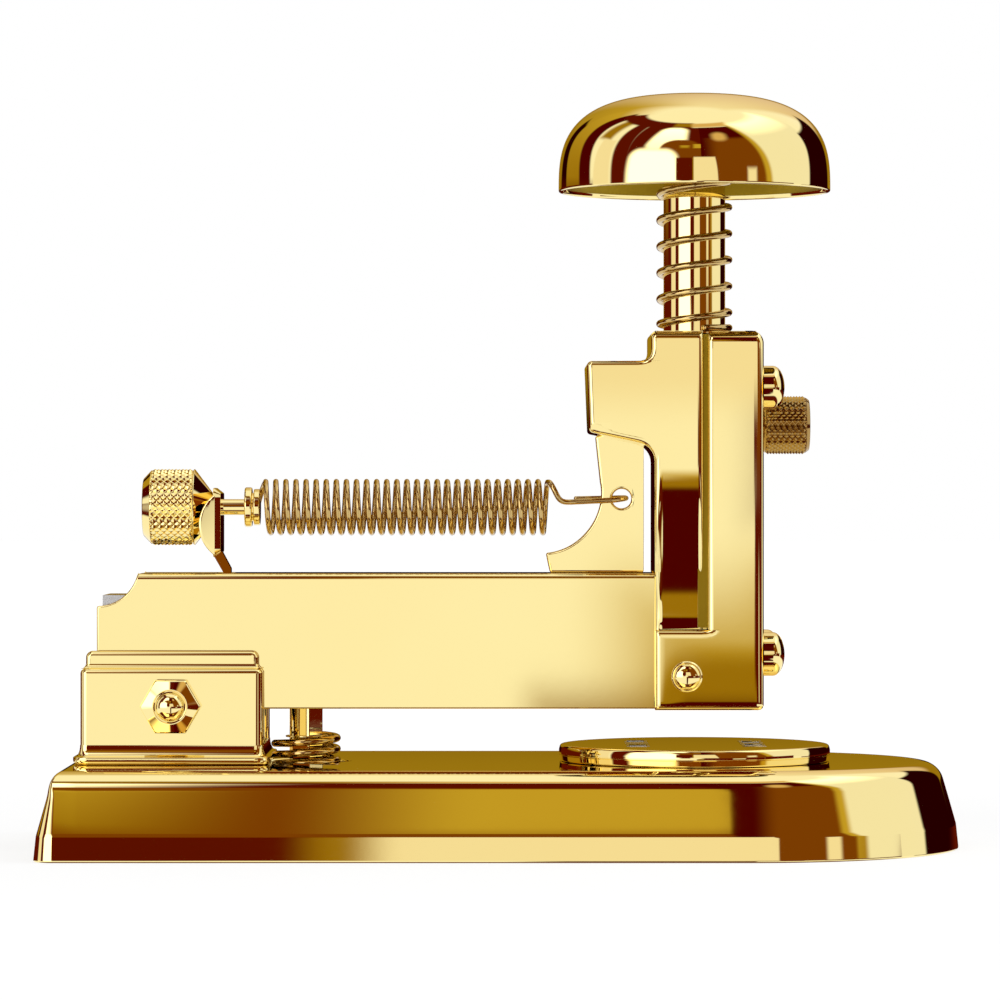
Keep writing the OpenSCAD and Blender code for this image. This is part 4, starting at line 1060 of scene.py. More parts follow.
    def roof(self, shell: Shell) -> None:
        """Adds the roof: ruled from the plunger's hole out to a rectangle.

        Args:
            shell: The shell that takes it.
        """
        open_at = np.arccos((self.seam_x - self.rod_x) / self.rod_hole)
        angle = np.linspace(open_at, TURN - open_at, 73)
        ray = np.stack([np.cos(angle), np.sin(angle)], axis=1)
        hole = (self.rod_x, 0) + self.rod_hole * ray
        wide, rear = self.half - self.crest, self.ledge[0] + self.edge
        reach = np.minimum((rear - self.rod_x) / np.minimum(ray[:, 0], -1e-6),
                           wide / np.maximum(abs(ray[:, 1]), 1e-6))
        outer = np.clip((self.rod_x, 0) + reach[:, None] * ray, (rear, -wide), (self.seam_x, wide))
        outer[[0, -1]] = ((self.seam_x, wide), (self.seam_x, -wide))
        flat = hole + (outer - hole) * np.array((0, 0.03, 0.08, 0.15, 0.5, 1.0))[:, None, None]
        middle = lifted(flat, np.full(len(flat), self.top - self.sheet_t / 2))
        border = np.linalg.norm(flat - hole, axis=-1)
        shell.sheet(middle, np.array((0.0, 0.0, 1.0)), self.sheet_t, self.hole_edge, border)

    def housing(self) -> None:
        """Builds the pressed housing."""
        shell = Shell()
        for sign in (-1, 1):
            self.sides(shell, sign)
        self.band(shell)
        self.roof(shell)
        dress(shell.build("pressed_housing"), GOLD, "arm", "head_housing")

    def rolled(self, x: Array, z: Array, front: Array) -> Array:
        """Gives how far the cover lies in: its top edge curls over, its foot and lower front roll gently.

        Args:
            x, z: Places on the cover.
            front: 1 on the front face, 0 on the sides.

        Returns:
            How far it lies in along its own normal.
        """
        (down, foot_x), (tall, wide) = self.foot_from, self.foot_run
        foot = np.clip((self.skirt_z - down - z) / tall, 0, 1) ** 2 * smooth((x - foot_x) / wide)
        (front_x, front_z), (wide, tall) = self.front_from, self.front_run
        lower = np.clip((x - front_x) / wide, 0, 1) ** 2 * smooth((front_z - z) / tall)
        return fall(self.top - z, self.curl) + (self.foot_roll * foot + self.front_roll * lower) * (1 - front)

    def cover(self) -> None:
        """Builds the wrapped cover: a U in plan carried up, wider behind below the skirt's top."""
        half, front = self.half - self.cover_t / 2, self.cover_x1 - self.cover_t / 2
        round_r = self.cover_round - self.cover_t / 2
        # Two rows close together make the step at the skirt's top
        z = joined(spread(self.cover_z0, self.skirt_z, 30, 0.9), [self.skirt_z + 0.04],
                   spread(self.skirt_z + 0.05, self.top - self.curl, 14, 0.9),
                   self.top - self.curl * (1 - np.sin(np.linspace(0, pi / 2, 16))))[:, None]
        share = np.concatenate([np.linspace(0, 0.09, 9), np.linspace(0.09, 1, 12)[1:]])
        beyond = self.cover_knee + (front - round_r - self.cover_knee) * np.linspace(0, 1, 14)[1:]
        turn = np.linspace(0, pi / 2, 9)[1:]
        start = np.where(z <= self.skirt_z, self.skirt_x0, self.cover_x0 + fall(self.top - z, self.corner))
        sides = len(share) + len(beyond)
        face_y = np.linspace(half - round_r, 0, 6)[1:]
        fixed = np.concatenate([beyond, front - round_r + round_r * np.sin(turn),
                                np.full(len(face_y), front)])
        x = np.concatenate([start + (self.cover_knee - start) * share,
                            np.broadcast_to(fixed, (len(z), len(fixed)))], axis=1)
        y = np.concatenate([np.full(sides, half), half - round_r + round_r * np.cos(turn), face_y])
        nx = np.concatenate([np.zeros(sides), np.sin(turn), np.ones(len(face_y))])
        ny = np.concatenate([np.ones(sides), np.cos(turn), np.zeros(len(face_y))])
        z = np.broadcast_to(z, x.shape)
        inward = self.rolled(x, z, nx)
        x, y = x - inward * nx, y - inward * ny
        rear = np.array([(self.skirt_x0, self.cover_z0), (self.skirt_x0, self.skirt_z),
                         (self.cover_x0, self.skirt_z), (self.cover_x0, self.top)])
        border = np.minimum(distance(np.stack([x, z], axis=-1), rear), z - self.cover_z0)
        shell = Shell()
        shell.sheet(np.stack([mirrored(x), mirrored(y, -1), mirrored(z)], axis=-1),
                    np.stack([mirrored(nx), mirrored(ny, -1), 0 * mirrored(nx)], axis=-1),
                    self.cover_t, self.cover_edge, mirrored(border))
        dress(shell.build("wrapped_cover"), GOLD, "arm", "front_cover")

    def seam(self) -> None:
        """Builds the two flat strips that back the seam between housing and cover, in darker gold as painted
        shade in the seam.
        """
        shell = Shell()
        x, z = np.meshgrid(np.array(self.strip_x), np.array(self.strip_z))
        for sign in (-1, 1):
            shell.sheet(np.stack([x, np.full_like(x, sign * self.strip_y), z], axis=-1),
                        np.array((0.0, sign, 0.0)), self.strip_t, self.strip_t / 3, np.ones_like(x))
        # The strips' darker gold is painted shade in the seam.
        dress(shell.build("seam_strips", 32), SHADED_GOLD, "arm")

    def rivets(self) -> None:
        """Builds the two rivets: a thin flange and half an ellipse for its dome, turned round Y."""
        bend = np.linspace(0, pi / 2, 10)
        radius, foot, rise = self.rivet_dome
        dome = np.stack([radius * np.cos(bend), foot + rise * np.sin(bend)], axis=1)
        head = np.concatenate([rounded(self.rivet_flange, 4, 0.02), dome])
        shell = Shell()
        for sign in (-1, 1):
            place = (self.rivet_x, sign * (self.half - self.rivet_sunk), self.rivet_z)
            shell.grid(revolve(head * (1, sign), Axis.Y, place, 64))
        dress(shell.build("domed_rivets"), GOLD, "arm", "head_rivets")

    def screws(self) -> None:
        """Builds the four slotted screws: rows of points across an elliptic dome, cut down to the slot."""
        even = np.sin(np.linspace(-pi / 2, pi / 2, 33))
        slot = np.array((self.slot_half - self.slot_wall, self.slot_half))
        s = joined(self.screw_r * even, -slot, slot)[:, None]
        along = np.sqrt(np.maximum(self.screw_r ** 2 - s ** 2, 0)) * np.sin(np.linspace(-pi / 2, pi / 2, 41))
        inside = np.clip(1 - (s ** 2 + along ** 2) / self.screw_r ** 2, 0, 1)
        dome = self.screw_rim + self.screw_rise * np.sqrt(inside) ** self.screw_power
        x = np.where(abs(s) < slot.mean(), np.minimum(dome, self.slot_x), dome)
        x = np.pad(x, ((0, 0), (1, 1)), constant_values=self.cover_x1)
        across = np.broadcast_to(s, x.shape)
        along = np.pad(along, ((0, 0), (1, 1)), mode="edge")
        shell = Shell()
        for side in (-1, 1):
            for z, turn in self.screw_spots:
                shell.grid(np.stack([x, side * self.screw_y + across * np.cos(turn) - along * np.sin(turn),
                                     z + across * np.sin(turn) + along * np.cos(turn)], axis=-1))
        dress(shell.build("slotted_screws"), GOLD, "arm", "cover_screws")

    def build(self) -> None:
        """Builds the head's pieces."""
        self.housing()
        self.cover()
        self.seam()
        self.rivets()
        self.screws()


@dataclass(frozen=True)
class Knurl:
    """A diamond knurl: two families of V grooves that cross on a barrel.

    Attributes:
        around: Grooves of each family round the barrel.
        along: Diamonds along it.
        deep: Depth of the grooves.
        fine: Points to a diamond each way.
        run_out: Diamonds over which the grooves run out at each end.
    """

    around: int
    along: int
    deep: float
    fine: int = 8
    run_out: float = 0.25

    def barrel(self, radius: float, x0: float, x1: float) -> Array:
        """Cuts the knurl: radius less depth times the greater of |2 frac(a + b) - 1| and |2 frac(a - b) - 1|.

        Args:
            radius: The barrel's radius.
            x0, x1: Its two ends.

        Returns:
            Rows by columns by three, on the X axis.
        """
        i = np.arange(self.around * self.fine) / self.fine
        j = np.arange(self.along * self.fine + 1)[:, None] / self.fine
        groove = np.maximum(abs(2 * ((i + j) % 1) - 1), abs(2 * ((i - j) % 1) - 1))
        fade = np.clip(np.minimum(j, self.along - j) / self.run_out, 0, 1)
        r = radius - self.deep * (1 - (1 - groove) * fade)
        angle = i * TURN / self.around
        x = np.broadcast_to(x0 + (x1 - x0) * j / self.along, r.shape)
        return np.stack([x, r * np.cos(angle), r * np.sin(angle)], axis=-1)

    def turned(self, profile: Array) -> Array:
        """Turns a plain part round X with as many points as the knurl."""
        return revolve(profile, Axis.X, (0, 0, 0), self.around * self.fine)


@dataclass
class Knob:
    """A screw turned by hand: a plain end, the knurled barrel and the other plain end.

    Attributes:
        name: The piece's name.
        node: The solid that it stands for, and the body of that name that it rides on.
        finish: Its finish.
        z: Height of its axis.
        knurl: Its knurl.
        barrel: The barrel's radius and its two ends.
        rear, front: Corners of the plain ends: radius, place and rounding.
    """

    name: str
    node: str
    finish: Finish
    z: float
    knurl: Knurl
    barrel: Triple
    rear: Sequence[Triple]
    front: Sequence[Triple]

    def build(self) -> None:
        """Builds the screw as one grid round X."""
        grid = np.concatenate([self.knurl.turned(rounded(self.rear, 4)), self.knurl.barrel(*self.barrel),
                               self.knurl.turned(rounded(self.front, 4, 0.05))])
        dress(one_grid(self.name, grid + (0, 0, self.z), 18), self.finish, self.node, self.node)


REAR_KNOB = Knob(
    "knurled_knob", "rear_knob", GOLD, 60.0, Knurl(32, 6, 0.36), (6.75, -62.45, -55.1),
    ((0, -63.9, 0), (5.0, -63.9, 0.3), (6.5, -62.5, 0)),
    ((6.45, -55.05, 0), (6.7, -55.0, 0.1), (6.7, -54.8, 0.15), (2.4, -51.58, 0.3), (1.45, -51.58, 0),
     (1.45, -54, 0), (0, -54, 0)))
# The thumbscrew's browner gold is painted shade.
THUMBSCREW = Knob(
    "knurled_thumbscrew", "front_thumbscrew", SHADED_KNURL_GOLD, 74.5, Knurl(28, 7, 0.4), (5.15, 45.95, 53.05),
    ((0, 39.9, 0), (2.0, 39.9, 0.3), (2.0, 45.4, 0), (4.4, 45.4, 0.2), (4.85, 45.9, 0)),
    ((4.85, 53.1, 0), (4.4, 53.7, 0.2), (3.4, 53.7, 0.1), (3.2, 53.4, 0.1), (0, 53.4, 0)))


@dataclass
class Plunger:
    """The press cap, its rod and the plunger spring.

    Attributes:
        power: The cap's superellipse; 2 would be an ellipse.
        crowd: How closely the cap's points lie at rim and top.
        thin_z: Height over which the wall thins towards the rim.
        skin: Clearance of the inside skin, which carries painted shade, from the wall; it is half as thick.
    """

    x: float = 33.45
    cap_r: float = 24.0
    rim_z: float = 115.7
    rise: float = 17.1
    wall: float = 1.4
    rim_t: float = 0.5
    skin: float = 0.04
    power: float = 3.0
    crowd: float = 1.6
    thin_z: float = 4.0
    rod_r: float = 5.45
    rod_z: Pair = (69.7, 128.1)
    rod_round: float = 0.5
    coil: Coil = Coil(radius=6.12, wire=1.25, start=91.45, stop=118.85, turns=7.02, phase=-75.0, closed=0.88)

    def dome(self, radius: float, rise: float) -> Array:
        """Draws half a superellipse from rim to top: radius cos^(2/n) t and rise sin^(2/n) t.

        Args:
            radius: Its radius at the rim.
            rise: Its height over the rim.

        Returns:
            Radius and height, one point a row, closer at both ends.
        """
        s = np.linspace(0, 1, 112) ** self.crowd
        t = pi / 2 * s / (s + s[::-1])
        bend = 2 / self.power
        r = radius * np.clip(np.cos(t), 0, 1) ** bend
        return np.stack([r, self.rim_z + rise * np.sin(t) ** bend], axis=1)

    def cap(self) -> None:
        """Builds the cap: inner dome, rounded rim and outer dome round Z, and a thin skin inside in darker
        gold as painted shade.
        """
        outer = self.dome(self.cap_r, self.rise)
        inner = self.dome(self.cap_r - self.wall, self.rise - self.wall)
        inner[:, 0] += (self.wall - self.rim_t) * (1 - smooth((inner[:, 1] - self.rim_z) / self.thin_z))
        inner[-1, 0] = outer[-1, 0] = 0
        lip = self.rim_t / 2
        bend = np.linspace(-pi / 2, pi / 2, 7)[1:-1]
        rim = np.stack([self.cap_r - lip + lip * np.sin(bend), self.rim_z + lip * (1 - np.cos(bend))], axis=1)
        clear = self.rim_z + lip
        profile = np.concatenate([inner[inner[:, 1] > clear][::-1], rim, outer[outer[:, 1] > clear]])
        axis = (self.x, 0, 0)
        dress(one_grid("spun_cap", revolve(profile, Axis.Z, axis, 192), 60), GOLD, "plunger", "press_cap")
        # A thin skin just inside the wall carries painted shade in darker gold.
        skin = inner[inner[:, 1] > clear + self.rim_t] - self.skin
        back = skin + self.skin / 2
        skin[-1, 0] = back[-1, 0] = 0
        profile = np.concatenate([skin[::-1], back])
        dress(one_grid("cap_inside", revolve(profile, Axis.Z, axis, 128), 60), SHADED_GOLD, "plunger")

    def rod(self) -> None:
        """Builds the rod as a turned bar."""
        low, high = self.rod_z
        bar = rounded([(0, low, 0), (self.rod_r, low, self.rod_round), (self.rod_r, high, self.rod_round),
                       (0, high, 0)], 4)
        rod = one_grid("turned_rod", revolve(bar, Axis.Z, (self.x, 0, 0), 128))
        dress(rod, GOLD, "plunger", "plunger_rod")

    def spring(self) -> None:
        """Winds the plunger spring, with a closed turn at each end."""
        spring = one_grid("wound_plunger_spring", self.coil.upright(self.x), 60)
        dress(spring, WIRE, "arm", "plunger_spring")
        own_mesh(spring)

    def build(self) -> None:
        """Builds the plunger's pieces."""
        self.cap()
        self.rod()
        self.spring()


@dataclass
class Feed:
    """The follower's bracket, plug and the long feed spring with its hook.

    Attributes:
        root, lead: The wire's bends before and after its turns, with heights over the spring's axis.
        hook_z, hook: Height of the hook, and its bends with heights over that.
        soften: How many times the bends are averaged with their neighbours.
        step: Distance of the rings along the hook.
        plate_x: The bracket plate's rear and front face.
        shear: How far the plate's sheared edges lean in.
        wing_out: How far the wings stand out behind the plate.
        tongue_x: Rear and front of the tongue's foot.
        tongue_bend: Heights of the tongue's two bends, at its rear and its front.
    """

    z: float = 60.0
    radius: float = 4.525
    wire: float = 0.95
    start: float = -42.33
    stop: float = 7.58
    turns: int = 28
    root: Sequence[Triple] = ((-43.9, 3.7, 0.4), (-43.5, 3.5, 1.8), (-43.0, 2.5, 3.4))
    lead: Sequence[Triple] = ((7.95, -1.4, 4.35), (8.55, -2.2, 3.3), (9.15, -2.2, 2.0), (9.7, -1.9, 1.05),
                              (10.5, -1.6, 0.85), (12.0, -1.4, 0.9))
    hook_z: float = 61.5
    hook: Sequence[Triple] = ((19.5, -1.32, -0.25), (21.0, -1.15, 0), (21.55, 0.0, 0.1), (21.0, 1.2, 0.15),
                              (19.5, 1.4, 0.1), (12.4, 1.35, -0.05))
    soften: int = 6
    step: float = 0.35
    plug: Sequence[Triple] = ((0, -46.0, 0), (3.5, -46.0, 0.3), (3.5, -44.7, 0.3), (2.5, -44.7, 0.1),
                              (2.5, -44.4, 0.1), (3.2, -44.4, 0.2), (3.2, -43.3, 0.2), (0, -43.3, 0))
    plate_x: Pair = (-51.28, -50.0)
    plate_half: Pair = (6.6, 6.1)
    plate_z: float = 57.3
    plate_round: float = 1.5
    plate_edge: float = 0.1
    shear: float = 0.85
    wing_r: float = 6.55
    wing_z: float = 56.9
    wing_out: float = 2.5
    wing_half: float = 5.15
    wing_t: float = 0.8
    wing_edge: float = 0.25
    wing_in: float = 0.3
    tongue_half: float = 2.1
    tongue_top: float = 53.2
    tongue_foot: float = 44.6
    tongue_x: Pair = (-49.68, -48.4)
    tongue_bend: tuple[Pair, Pair] = ((51.2, 48.4), (52.2, 49.2))
    tongue_ease: float = 0.4

    def plate(self, shell: Shell) -> None:
        """Adds the bracket's plate: a rounded rectangle whose edges lean in, closed by a pole at each face.

        Args:
            shell: The shell that takes it.
        """
        (rear, front), edge = self.plate_x, self.plate_edge
        out = np.array((-edge, 0, -self.shear, -self.shear - edge))
        plan = rectangle(self.plate_half, self.plate_round, out)
        depth = np.array((rear, rear + edge, front - edge, front))
        plate = np.roll(lifted(plan + (0, self.plate_z), depth), 1, axis=-1)
        pole = np.broadcast_to(np.array((0.0, 0.0, self.plate_z)), plate[:1].shape)
        shell.grid(np.concatenate([pole + (rear, 0, 0), plate, pole + (front, 0, 0)]))

    def wings(self, shell: Shell) -> None:
        """Adds the bracket's two wings: flat sheets between the plate and a circle's arc behind it.

        Args:
            shell: The shell that takes it.
        """
        rear = self.plate_x[0]
        z = self.wing_half * np.sin(np.linspace(-pi / 2, pi / 2, 31))
        arc = rear - self.wing_out + self.wing_r - np.sqrt(self.wing_r ** 2 - z ** 2)
        share = np.array((0, 0.5, 0.8, 0.88, 0.94, 0.98, 1.0))[:, None]
        x = rear + self.wing_in + (arc - rear - self.wing_in) * share
        z = np.broadcast_to(self.wing_z + z, x.shape)
        for sign in (-1, 1):
            y = np.full_like(x, sign * (self.plate_half[0] - self.wing_t / 2))
            shell.sheet(np.stack([x, y, z], axis=-1), np.array((0.0, sign, 0.0)), self.wing_t, self.wing_edge,
                        x - arc)

    def tongue(self, shell: Shell) -> None:
        """Adds the bracket's tongue: a strip bent twice on its way down, narrower at its front.

        Args:
            shell: The shell that takes it.
        """
        back, face = (
            np.array([(top, self.tongue_top), (top, upper), (foot, lower), (foot, self.tongue_foot)])
            for top, foot, (upper, lower) in zip(self.plate_x, self.tongue_x, self.tongue_bend))
        side = np.stack([back, face, face, back], axis=1)
        y = np.array((-1, -1, 1, 1)) * self.tongue_half + np.array((0, 1, -1, 0)) * self.tongue_ease
        tongue = np.stack([side[..., 0], np.broadcast_to(y, side.shape[:2]), side[..., 1]], axis=-1)
        ends = np.broadcast_to(tongue.mean(axis=1, keepdims=True), tongue.shape)
        shell.grid(np.concatenate([ends[:1], tongue, ends[-1:]]))

    def route(self) -> Array:
        """Lays the feed spring's wire along X: led in from the plug, wound, and led out to the plate's hole.

        The bends outside the turns are softened by averaging each point with its neighbours.

        Returns:
            Points of the wire's middle, one a row.
        """
        angle, x = Coil(self.radius, self.wire, self.start, self.stop, self.turns, 0.0, rings=30).path().T
        coil = np.stack([x, -self.radius * np.sin(angle), self.z + self.radius * np.cos(angle)], axis=1)
        knots = np.concatenate([np.add(self.root, (0, 0, self.z)), coil, np.add(self.lead, (0, 0, self.z)),
                                np.add(self.hook, (0, 0, self.hook_z))])
        run = np.concatenate([[0], np.cumsum(np.linalg.norm(np.diff(knots, axis=0), axis=1))])
        first, last = len(self.root), len(self.root) + len(coil) - 1
        even = np.concatenate([np.linspace(0, run[first], 12)[:-1], run[first:last + 1],
                               np.arange(run[last], run[-1], self.step)[1:], run[-1:]])
        path = np.stack([np.interp(even, run, knots[:, k]) for k in range(3)], axis=1)
        soft = path.copy()
        for _ in range(self.soften):
            soft[1:-1] = (soft[:-2] + 2 * soft[1:-1] + soft[2:]) / 4
        bends = (path[:, 0] > self.stop) | (path[:, 0] < self.start)
        return np.where(bends[:, None], soft, path)

    def spring(self) -> None:
        """Builds the feed spring, which stretches between the arm and the follower."""
        path = self.route()
        # Directions that are nowhere along the wire
        aside = np.stack([np.ones(len(path)), 0.02 * path[:, 1], np.full(len(path), 0.3)], axis=1)
        spring = one_grid("wound_feed_spring", tube(path, self.wire / 2, aside, 16), 60)
        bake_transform(spring)
        dress(spring, WIRE, None, "feed_spring")

    def build(self) -> None:
        """Builds the follower's shown pieces."""
        shell = Shell()
        self.plate(shell)
        self.wings(shell)
        self.tongue(shell)
        dress(shell.build("bent_bracket", 35), GOLD, "follower", "follower_bracket")
        plug = revolve(rounded(self.plug, 4, 0.02), Axis.X, (0, 0, self.z))
        dress(one_grid("turned_plug", plug), GOLD, "follower", "spring_plug")
        self.spring()


@dataclass
class Anvil:
    """The turning anvil disc and its plates."""

    x: float = 33.45
    disc: Sequence[Triple] = ((0, 15.25, 0), (23.75, 15.25, 0.3), (23.9, 16.3, 0), (23.8, 16.4, 0),
                              (23.93, 16.5, 0.05), (23.95, 17.2, 0), (23.7, 18.18, 0.5), (0, 18.18, 0))
    plate_edge: float = 0.12

    def build(self) -> None:
        """Turns the disc with a fine groove round its rim, and eases its two plates."""
        disc = revolve(rounded(self.disc, 5, 0.05), Axis.Z, (self.x, 0, 0), 192)
        dress(one_grid("turned_anvil", disc), GOLD, "anvil", "anvil_disc")
        for plate in ("clinch_plate", "tacking_plate"):
            eased(plate, self.plate_edge, segments=2)


class Tone(Enum):
    """What hangs in the studio, in the colour that the gold shows it."""

    CREAM = "#F6DE94"
    HONEY = "#D8A850"
    BRASS = "#C39A22"
    OLIVE = "#9A6E08"
    AMBER = "#7A3D02"
    UMBER = "#5A1000"
    GARNET = "#4A0200"
    BLACK = "#240000"


@dataclass(frozen=True)
class Patch:
    """One soft-edged patch of the studio that only reflections see.

    Azimuth 0 is behind the camera, 90 towards +X and 180 behind the object.

    Attributes:
        low: Azimuths at the patch's lower edge.
        elevation: Elevations of its lower and upper edge.
        foot: What it looks like at its lower edge: a tone, or a level of white.
        soft: Width of its soft edge in degrees.
        high: Azimuths at its upper edge, where they differ.
        head: What it looks like at its upper edge, where that differs.
        bend: Radius of its corners in degrees.
        fade: How much wider its soft edge is to the sides than above and below.
    """

    low: Pair
    elevation: Pair
    foot: Tone | float
    soft: float = 3.0
    high: Pair | None = None
    head: Tone | float | None = None
    bend: float = 0.0
    fade: float = 1.0

    @staticmethod
    def glow(look: Tone | float) -> Array:
        """Turns a look into light: a level is white, and a tone is divided by the gold's own."""
        return linear(look.value) / linear(GOLD.tone) if isinstance(look, Tone) else np.full(3, look)

    def paint(self, light: Array, azimuth: Array, elevation: Array) -> None:
        """Paints the patch over the light so far, by how far each point lies inside its outline.

        Args:
            light: The light, rows by columns by three, changed in place.
            azimuth, elevation: Direction of each point in degrees.
        """
        middle, tall = sum(self.elevation) / 2, (self.elevation[1] - self.elevation[0]) / 2
        share = np.clip((elevation - middle) / (2 * tall) + 0.5, 0, 1)
        left, right = (low + (high - low) * share for low, high in zip(self.low, self.high or self.low))
        swing = abs((azimuth - (left + right) / 2 + 180) % 360 - 180)
        across = (swing - (right - left) / 2) * np.cos(np.radians(elevation)) / self.fade + self.bend
        upright = abs(elevation - middle) - tall + self.bend
        corner = np.hypot(np.maximum(across, 0), np.maximum(upright, 0))
        inside = self.bend - corner - np.minimum(np.maximum(across, upright), 0)
        foot, head = self.glow(self.foot), self.glow(self.foot if self.head is None else self.head)
        look = foot + (head - foot) * share[..., None]
        light += (look - light) * smooth(inside / self.soft + 0.5)[..., None]


@dataclass(frozen=True)
class Lamp:
    """One soft lamp that faces the object.

    Attributes:
        name: The lamp's name.
        azimuth, elevation: Where it hangs, in degrees.
        wide, high: Its size as the object sees it, in degrees.
        level: Its brightness against the white room's.
    """

    name: str
    azimuth: float
    elevation: float
    wide: float
    high: float
    level: float

    def hang(self, away: float, centre: float) -> None:
        """Hangs the lamp.

        Args:
            away: Its distance from the object.
            centre: Height of the object's middle.
        """
        light = bpy.data.lights.new(self.name, "AREA")
        light.shape = "RECTANGLE"
        light.size, light.size_y = (2 * away * MM * np.tan(radians(size / 2))
                                    for size in (self.wide, self.high))
        light.energy = self.level * pi * light.size * light.size_y
        lamp = bpy.data.objects.new(self.name, light)
        a, e = radians(self.azimuth), radians(self.elevation)
        spot = away * np.array((np.sin(a) * np.cos(e), -np.cos(a) * np.cos(e), np.sin(e))) + (0, 0, centre)
        lamp.location = spot * MM
        lamp.rotation_euler = (pi / 2 - e, 0, a)
        lamp.visible_camera = lamp.visible_glossy = False
        bpy.context.scene.collection.objects.link(lamp)


@dataclass
class Studio:
    """The camera, the pale floor, the white room, soft lamps and what the metal reflects.

    Attributes:
        patches: What the metal reflects, painted in this order.
        lamps, lamp_far: The lamps and their distance.
        room: Strength of the white room on dull surfaces.
        centre, far: Height of the object's middle, and radius of the ball that reflections see.
        lens, sensor, stand: The camera's focal length, sensor width and place.
        floor_half, floor_z, floor_matt: The floor's half-size, height and matt share.
        floor_reach, floor_glow: Distances between which the floor's own white rises, and from what to what.
    """

    patches: Sequence[Patch] = (
        # Behind the object
        Patch((150, 224), (4, 70), Tone.HONEY, 10.0, (140, 240), Tone.CREAM),
        Patch((178, 226), (0, 60), Tone.OLIVE, 20.0, (190, 245), Tone.BRASS),
        Patch((148, 226), (-6, 17), Tone.OLIVE, 7.0),
        Patch((140, 220), (-5, 1.6), Tone.BLACK, 1.4),
        # To the left
        Patch((-157, -141), (2, 30), Tone.BLACK, 3.0, (-157, -143)),
        Patch((-141, -115), (2, 52), Tone.OLIVE, 3.0, (-150, -126), Tone.BRASS),
        Patch((-113, -98), (-12, 62), Tone.GARNET, 3.0, (-131, -112)),
        Patch((-103, -88), (32, 60), Tone.OLIVE, 6.0, (-105, -88)),
        Patch((-98, -79), (-3, 32), Tone.CREAM, 3.0, (-96, -80)),
        Patch((-77, -62), (-8, 60), Tone.UMBER, 3.0, (-78, -60)),
        Patch((-160, -98), (-10, 5), Tone.UMBER),
        # Overhead
        Patch((-128, -3), (56, 68), Tone.UMBER, 3.0, (-120, -3)),
        Patch((-28, -1), (60, 67), Tone.OLIVE, 4.0),
        Patch((-4, 50), (59, 67), Tone.HONEY, 4.0, (-4, 46)),
        # Behind the camera
        Patch((-64, -5), (0, 58), Tone.UMBER, 2.0, (-60, -5)),
        Patch((-6.5, 5.5), (2.9, 58), Tone.UMBER, 0.8),
        Patch((4.5, 74), (0, 58), Tone.UMBER, 2.0, (4.5, 46)),
        Patch((-48, -9), (24, 57), 1.5, 6.0, (-36, -9), 2.4, bend=6.0),
        Patch((-33, 5), (3, 37), Tone.AMBER, 3.0, bend=14.0),
        Patch((-14, -6.2), (25.6, 29.0), Tone.OLIVE, 0.8, head=Tone.BRASS, fade=5.0),
        Patch((-2.2, 6.4), (25.6, 30.6), Tone.BRASS, 1.0, fade=3.6),
        Patch((4.2, 50), (17, 58), Tone.GARNET, 0.25, (4.2, 44)),
        Patch((13, 72), (-1, 38), Tone.AMBER, 6.0, (13, 56), fade=2.4),
        Patch((-63, -13), (-4, 24), 2.2, 7.0, (-58, -18), bend=9.0),
        Patch((-17, -2.9), (3, 16), Tone.UMBER, 1.2),
        Patch((-3.1, -1.0), (3, 16), Tone.OLIVE, 1.0),
        Patch((-2.1, 19), (1.6, 16.5), Tone.CREAM, 1.0, (-2.1, 16)),
        Patch((44, 52), (3, 9), Tone.CREAM),
        Patch((16, 30), (35, 48), Tone.HONEY, 6.0, bend=5.0),
        # To the right
        Patch((62, 72), (3.6, 62), Tone.BRASS, 4.0, (40, 50)),
        Patch((70, 113), (-2, 62), 0.92, 4.0, (44, 125)),
        Patch((58, 116), (38, 62), 0.92, 10.0, (48, 122), 2.0),
        Patch((109, 152), (-9, 31), Tone.BLACK, 3.0, (116, 152)),
        # Below the horizon
        Patch((-400, 400), (-120, -43), Tone.UMBER, 8.0),
        Patch((2.2, 60), (-8, -1.6), Tone.BRASS, 2.6),
        Patch((2.9, 60), (-8, -2.8), Tone.OLIVE, 1.6),
        Patch((0.6, 60), (-8, -3.2), Tone.OLIVE, 1.2),
        Patch((0.6, 7), (-36, -4.8), Tone.GARNET, 1.2),
        Patch((6.5, 60), (-8, 0.5), Tone.UMBER, 2.0),
        Patch((60, 90), (-8, 2.2), Tone.UMBER, 0.8),
        Patch((31, 42), (-4.6, -1.4), Tone.CREAM, 1.4),
        Patch((100, 250), (-9, -3), Tone.UMBER, 2.0),
    )
    lamps: Sequence[Lamp] = (Lamp("left_box", -38, 14, 44, 20, 2.4), Lamp("high_box", -24, 50, 37, 20, 2.4),
                             Lamp("right_box", 90, 40, 50, 70, 1.6))
    lamp_far: float = 1600.0
    room: float = 0.5
    centre: float = 60.0
    far: float = 2500.0
    lens: float = 168.1
    sensor: float = 36.0
    stand: Triple = (-0.91, -825.7, 61.26)
    floor_half: float = 6000.0
    floor_z: float = -0.02
    floor_matt: float = 0.22
    floor_reach: Pair = (80.0, 700.0)
    floor_glow: Pair = (0.79, 0.93)

    def camera(self) -> None:
        """Sets the camera where the photograph was taken from."""
        camera = bpy.data.objects.new("camera", bpy.data.cameras.new("camera"))
        camera.data.lens, camera.data.sensor_width = self.lens, self.sensor
        camera.data.clip_end = 50.0
        camera.location, camera.rotation_euler = np.array(self.stand) * MM, (pi / 2, 0, 0)
        bpy.context.scene.collection.objects.link(camera)
        bpy.context.scene.camera = camera

